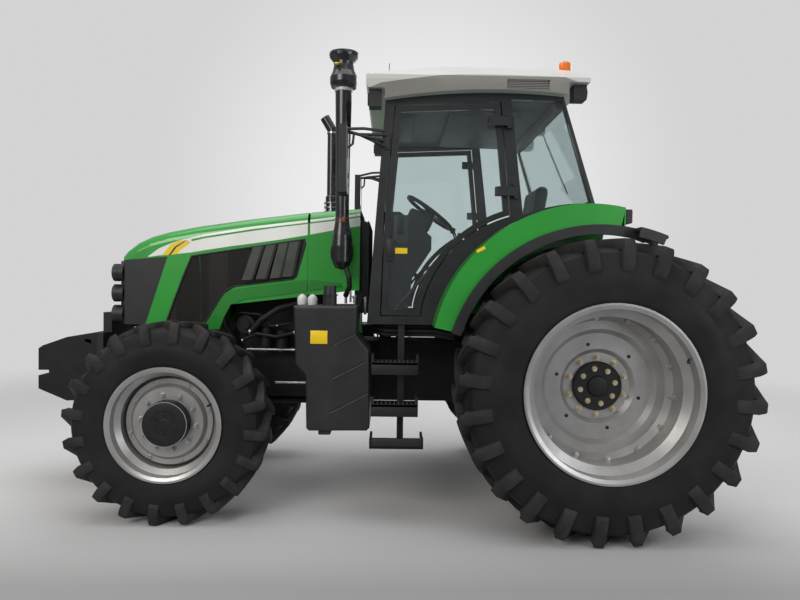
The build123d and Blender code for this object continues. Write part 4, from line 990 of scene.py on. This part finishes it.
# ---- Engine bay ----
bm = bmesh.new()
for _, side in SIDES:
    bar(bm, (600, side * 268, 998), (930, side * 268, 998), 9, 16)
    bar(bm, (520, side * 262, 770), (735, side * 262, 770), 9, 16)
    for x in (612, 700, 800, 900):
        bar(bm, (x, side * 262, 998), (x + 12, side * 262, 998), 15, 6)
done("bay_rods", bm, bright_zinc)
HOSES = (  # radius, sides, way
    (21, 16, ((560, 300, 1330), (700, 318, 1290), (820, 322, 1210), (900, 300, 1120))),
    (12, 12, ((600, 290, 1120), (720, 310, 1090), (860, 300, 1110), (960, 280, 1060))),
    (9, 12, ((640, 280, 1180), (760, 296, 1160), (840, 290, 1240), (980, 280, 1250))),
    (26, 16, ((1020, 250, 1050), (1080, 300, 1160), (1120, 300, 1300))),
)
bm = bmesh.new()
for _, side in SIDES:
    for radius, sides, way in HOSES:
        pipe(bm, [(x, side * y, z) for x, y, z in way], radius, sides)
done("bay_hoses", bm, seal_rubber)
bm = bmesh.new()
for _, side in SIDES:
    bar(bm, (690, side * 245, 1010), (690, side * 245, 1130), 48, 28)
    bar(bm, (800, side * 245, 1020), (800, side * 245, 1150), 42, 28)
    bar(bm, (940, side * 200, 1170), (940, side * 275, 1170), 62, 32)
    bar(bm, (940, side * 275, 1170), (940, side * 290, 1170), 30, 24)
    for x in range(580, 1000, 70):
        bolt(bm, (x, side * 228, 905), (0, side, 0), 15, 10)
done("bay_castings", bm, cast_black)
HOSE_CLAMPS = (  # x, y, z, radius
    (566, 296, 1325, 25), (902, 300, 1122, 25), (602, 290, 1120, 15), (958, 280, 1060, 15),
    (720, 300, 1164, 8),
)
bm = bmesh.new()
for _, side in SIDES:
    for x, y, z, radius in HOSE_CLAMPS:
        bar(bm, (x - 5, side * y, z), (x + 7, side * y, z), radius, 20)
done("bay_clamps", bm, brushed_steel)

# ---- Front weights and rear end ----
bm = bmesh.new()
for _, side in SIDES:
    bolt(bm, (2060, side * 226, 900), (0, side, 0), 30, 18)
    bar(bm, (2180, side * 226, 900), (2180, side * 233, 900), 24, 24)
bar(bm, (2060, -228, 900), (2060, 228, 900), 12, 16)
done("weight_bolt", bm, zinc_plate)
valves, caps = bmesh.new(), bmesh.new()
for y in (-120, 120):
    brick(valves, (-1490, y - 26, 1005), (-1430, y + 26, 1130), 8)
    for z in (1030, 1068, 1106):
        bar(valves, (-1490, y, z), (-1512, y, z), 14, 20)
        bar(valves, (-1512, y, z), (-1520, y, z), 17, 20)
        bar(caps, (-1520, y, z), (-1526, y, z), 15, 20)
done("rear_valves", valves, cast_black)
done("rear_valve_caps", caps, red_clamp)

# ---- Seat ----
CUSHION_ROUND = 26
CHANNEL_WIDTH, CHANNEL_DEEP = 7, 5
LAST_FRAME = 20  # of the cloth, whose shape there is kept


def baked(made):
    """A mesh of the object as its modifiers leave it."""
    return bpy.data.meshes.new_from_object(made.evaluated_get(bpy.context.evaluated_depsgraph_get()))


def cushion(name, low, high, turn, cap_mm, channels):
    """A stuffed cloth cushion that swells inside its cover, with sewn channels pressed in afterwards.

    Each channel is (axis number, place along it in mm), and presses the padded face all along.
    """
    bm = bmesh.new()
    brick(bm, low, high, CUSHION_ROUND, 4, turn)
    bmesh.ops.scale(bm, vec=(MM, MM, MM), verts=bm.verts)
    made = in_scene(name, mesh_of(name, bm))
    remesh = made.modifiers.new("remesh", "REMESH")
    remesh.mode = "VOXEL"
    remesh.voxel_size = 6 * MM
    made.data = baked(made)
    made.modifiers.clear()
    before = [vert.co.copy() for vert in made.data.vertices]
    cloth = made.modifiers.new("cloth", "CLOTH")
    cloth.settings.use_pressure = True
    cloth.settings.uniform_pressure_force = 4
    cloth.settings.effector_weights.gravity = 0
    for frame_number in range(1, LAST_FRAME + 1):
        bpy.context.scene.frame_set(frame_number)
    swollen = baked(made)
    made.modifiers.clear()
    bpy.context.scene.frame_set(1)
    for vert, start, after in zip(made.data.vertices, before, swollen.vertices):
        moved = after.co - start
        vert.co = start + moved * min(1, cap_mm * MM / max(moved.length, 1e-9))
    bpy.data.meshes.remove(swollen)
    outward = [vert.normal.copy() for vert in made.data.vertices]
    for axis, place in channels:
        for vert, way in zip(made.data.vertices, outward):
            away = (vert.co[axis] / MM - place) / CHANNEL_WIDTH
            vert.co -= way * CHANNEL_DEEP * MM * math.exp(-away * away)
    made.data.shade_smooth()
    made.data.materials.clear()
    made.data.materials.append(seat_weave)
    smooth = made.modifiers.new("smooth", "SUBSURF")
    smooth.levels = smooth.render_levels = 1
    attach(made, "chassis")
    return made


sewn = ((1, -110), (1, 110), (0, -860))
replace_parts(cushion("seat_cushion", (-1078, -233, 1574), (-692, 233, 1678), None, 12, sewn), "seat")
lean = Matrix.Rotation(math.atan2(75, 480), 4, "Y").inverted().to_quaternion()
cushion("seat_back", (-1110, -223, 1712), (-1042, 223, 2168), lean, 10, ((1, -105), (1, 105)))
bm = bmesh.new()
brick(bm, (-1085, -120, 1660), (-1045, 120, 1720), 6)
for _, side in SIDES:
    brick(bm, (-1060, side * 262 - 26, 1790), (-760, side * 262 + 26, 1836), 14, 3)
    brick(bm, (-1085, side * 262 - 16, 1640), (-1035, side * 262 + 16, 1800), 8)
done("seat_arms", bm, dash_plastic)


# ---- Floor, light and camera ----
FLOOR_SHADE_TONES = (  # Y in metres, colour
    (-0.9, "d8d8d9"), (0.5, "d2d2d3"), (1.4, "b0b0b1"), (1.75, "989899"), (2.6, "8c8c8d"),
)
FADE_FROM, FADE_TO = 4.2, 8.5  # metres from the origin


def studio_floor():
    """A matt floor that darkens along Y with painted shade, and fades out into the backdrop far from the
    tractor.
    """
    material, tree = blank("studio_floor")
    place = add(tree, "TexCoord")["Object"]
    depth = add(tree, "SeparateXYZ", {"Vector": place})["Y"]
    drift = add(tree, "Math", {0: patches(tree, 1500, 2), 1: 0.15}, operation="MULTIPLY")["Value"]
    colours = linear(FLOOR_SHADE_TONES[0][1])
    across = add(tree, "Math", {0: depth, 1: drift}, operation="ADD")["Value"]
    # Painted shade: the floor's colour darkens step by step along Y.
    for (start, _), (end, code) in zip(FLOOR_SHADE_TONES, FLOOR_SHADE_TONES[1:]):
        share = add(tree, "MapRange", {"Value": across, "From Min": start, "From Max": end})["Result"]
        colours = add(tree, "Mix", {0: share, 6: colours, 7: linear(code)}, data_type="RGBA")[2]
    shader = add(tree, "BsdfPrincipled", {"Base Color": colours, "Roughness": 0.8})["BSDF"]
    away = add(tree, "VectorMath", {0: place}, operation="LENGTH")["Value"]
    fade = add(
        tree, "MapRange", {"Value": away, "From Min": FADE_FROM, "From Max": FADE_TO},
        interpolation_type="SMOOTHSTEP",
    )["Result"]
    clear = add(tree, "BsdfTransparent")["BSDF"]
    return close_up(material, add(tree, "MixShader", {0: fade, 1: shader, 2: clear})["Shader"])


bm = bmesh.new()
bmesh.ops.create_grid(bm, x_segments=2, y_segments=2, size=30)
floor = in_scene("floor", mesh_of("floor", bm))
floor.data.materials.append(studio_floor())

# The backdrop glows behind the cab and is even elsewhere. Only what looks straight at it sees it.
world = bpy.data.worlds.new("studio")
bpy.context.scene.world = world
world.use_nodes = True
tree = world.node_tree
tree.nodes.clear()
path = add(tree, "LightPath")
straight = {0: path["Is Camera Ray"], 1: path["Is Transmission Ray"]}
seen = add(tree, "Math", straight, operation="MAXIMUM")["Value"]
way = add(tree, "TexCoord")["Generated"]
off = add(tree, "VectorMath", {0: way, 1: (-0.047, -0.99, 0.12)}, operation="DISTANCE")["Value"]
halo = add(
    tree, "MapRange", {"Value": off, "From Min": 0.1, "From Max": 0.42}, interpolation_type="SMOOTHSTEP"
)["Result"]
tones = add(tree, "Mix", {0: halo, 6: linear("eeeeef"), 7: linear("d3d3d4")}, data_type="RGBA")[2]
pale = add(tree, "Background", {"Color": tones, "Strength": 1.0})["Background"]
height = add(tree, "SeparateXYZ", {"Vector": way})["Z"]
glow = add(
    tree, "MapRange", {"Value": height, "From Min": -0.2, "From Max": 0.8, "To Min": 0.20, "To Max": 0.55}
)["Result"]
lit = add(tree, "Background", {"Color": linear("f4f4f3"), "Strength": glow})["Background"]
mixed = add(tree, "MixShader", {0: seen, 1: lit, 2: pale})["Shader"]
add(tree, "OutputWorld", {"Surface": mixed})


def lamp(name, at, aim, size, power, tint="ffffff"):
    """A soft box at a place, aimed at a point, sizes in metres."""
    light = bpy.data.lights.new(name, "AREA")
    light.shape = "RECTANGLE"
    light.size, light.size_y = size
    light.energy = power
    light.color = linear(tint)[:3]
    made = in_scene(name, light)
    made.location = at
    made.rotation_euler = (Vector(aim) - Vector(at)).to_track_quat("-Z", "Y").to_euler()
    made.visible_transmission = False


lamp("overhead", (0.3, 0.6, 6.5), (0, 0, 1.0), (7.0, 5.0), 210)
lamp("key", (3.6, 6.0, 4.2), (0.2, 0, 1.0), (3.5, 3.0), 210, "fffaf4")
lamp("fill", (-5.0, 5.0, 2.4), (-0.8, 0, 1.0), (3.0, 3.0), 110, "f8faff")
lamp("rim", (-3.0, -5.0, 4.0), (0, 0, 1.2), (4.0, 3.0), 100)

view = bpy.data.cameras.new("view")
view.sensor_width = 36
view.lens = 29.5
view.clip_end = 100
YAW, PITCH, ROLL = 0.01556, -0.02585, 0.01455
ahead = Vector((-math.sin(YAW) * math.cos(PITCH), -math.cos(YAW) * math.cos(PITCH), math.sin(PITCH)))
level = ahead.cross(Z).normalized()
upright = level.cross(ahead)
right = level * math.cos(ROLL) + upright * math.sin(ROLL)
top = upright * math.cos(ROLL) - level * math.sin(ROLL)
camera = in_scene("view", view)
facing = Matrix((right, top, -ahead)).transposed().to_4x4()
camera.matrix_world = Matrix.Translation((-0.048, 4.789, 1.468)) @ facing
bpy.context.scene.camera = camera

bpy.context.scene.view_settings.view_transform = "Standard"
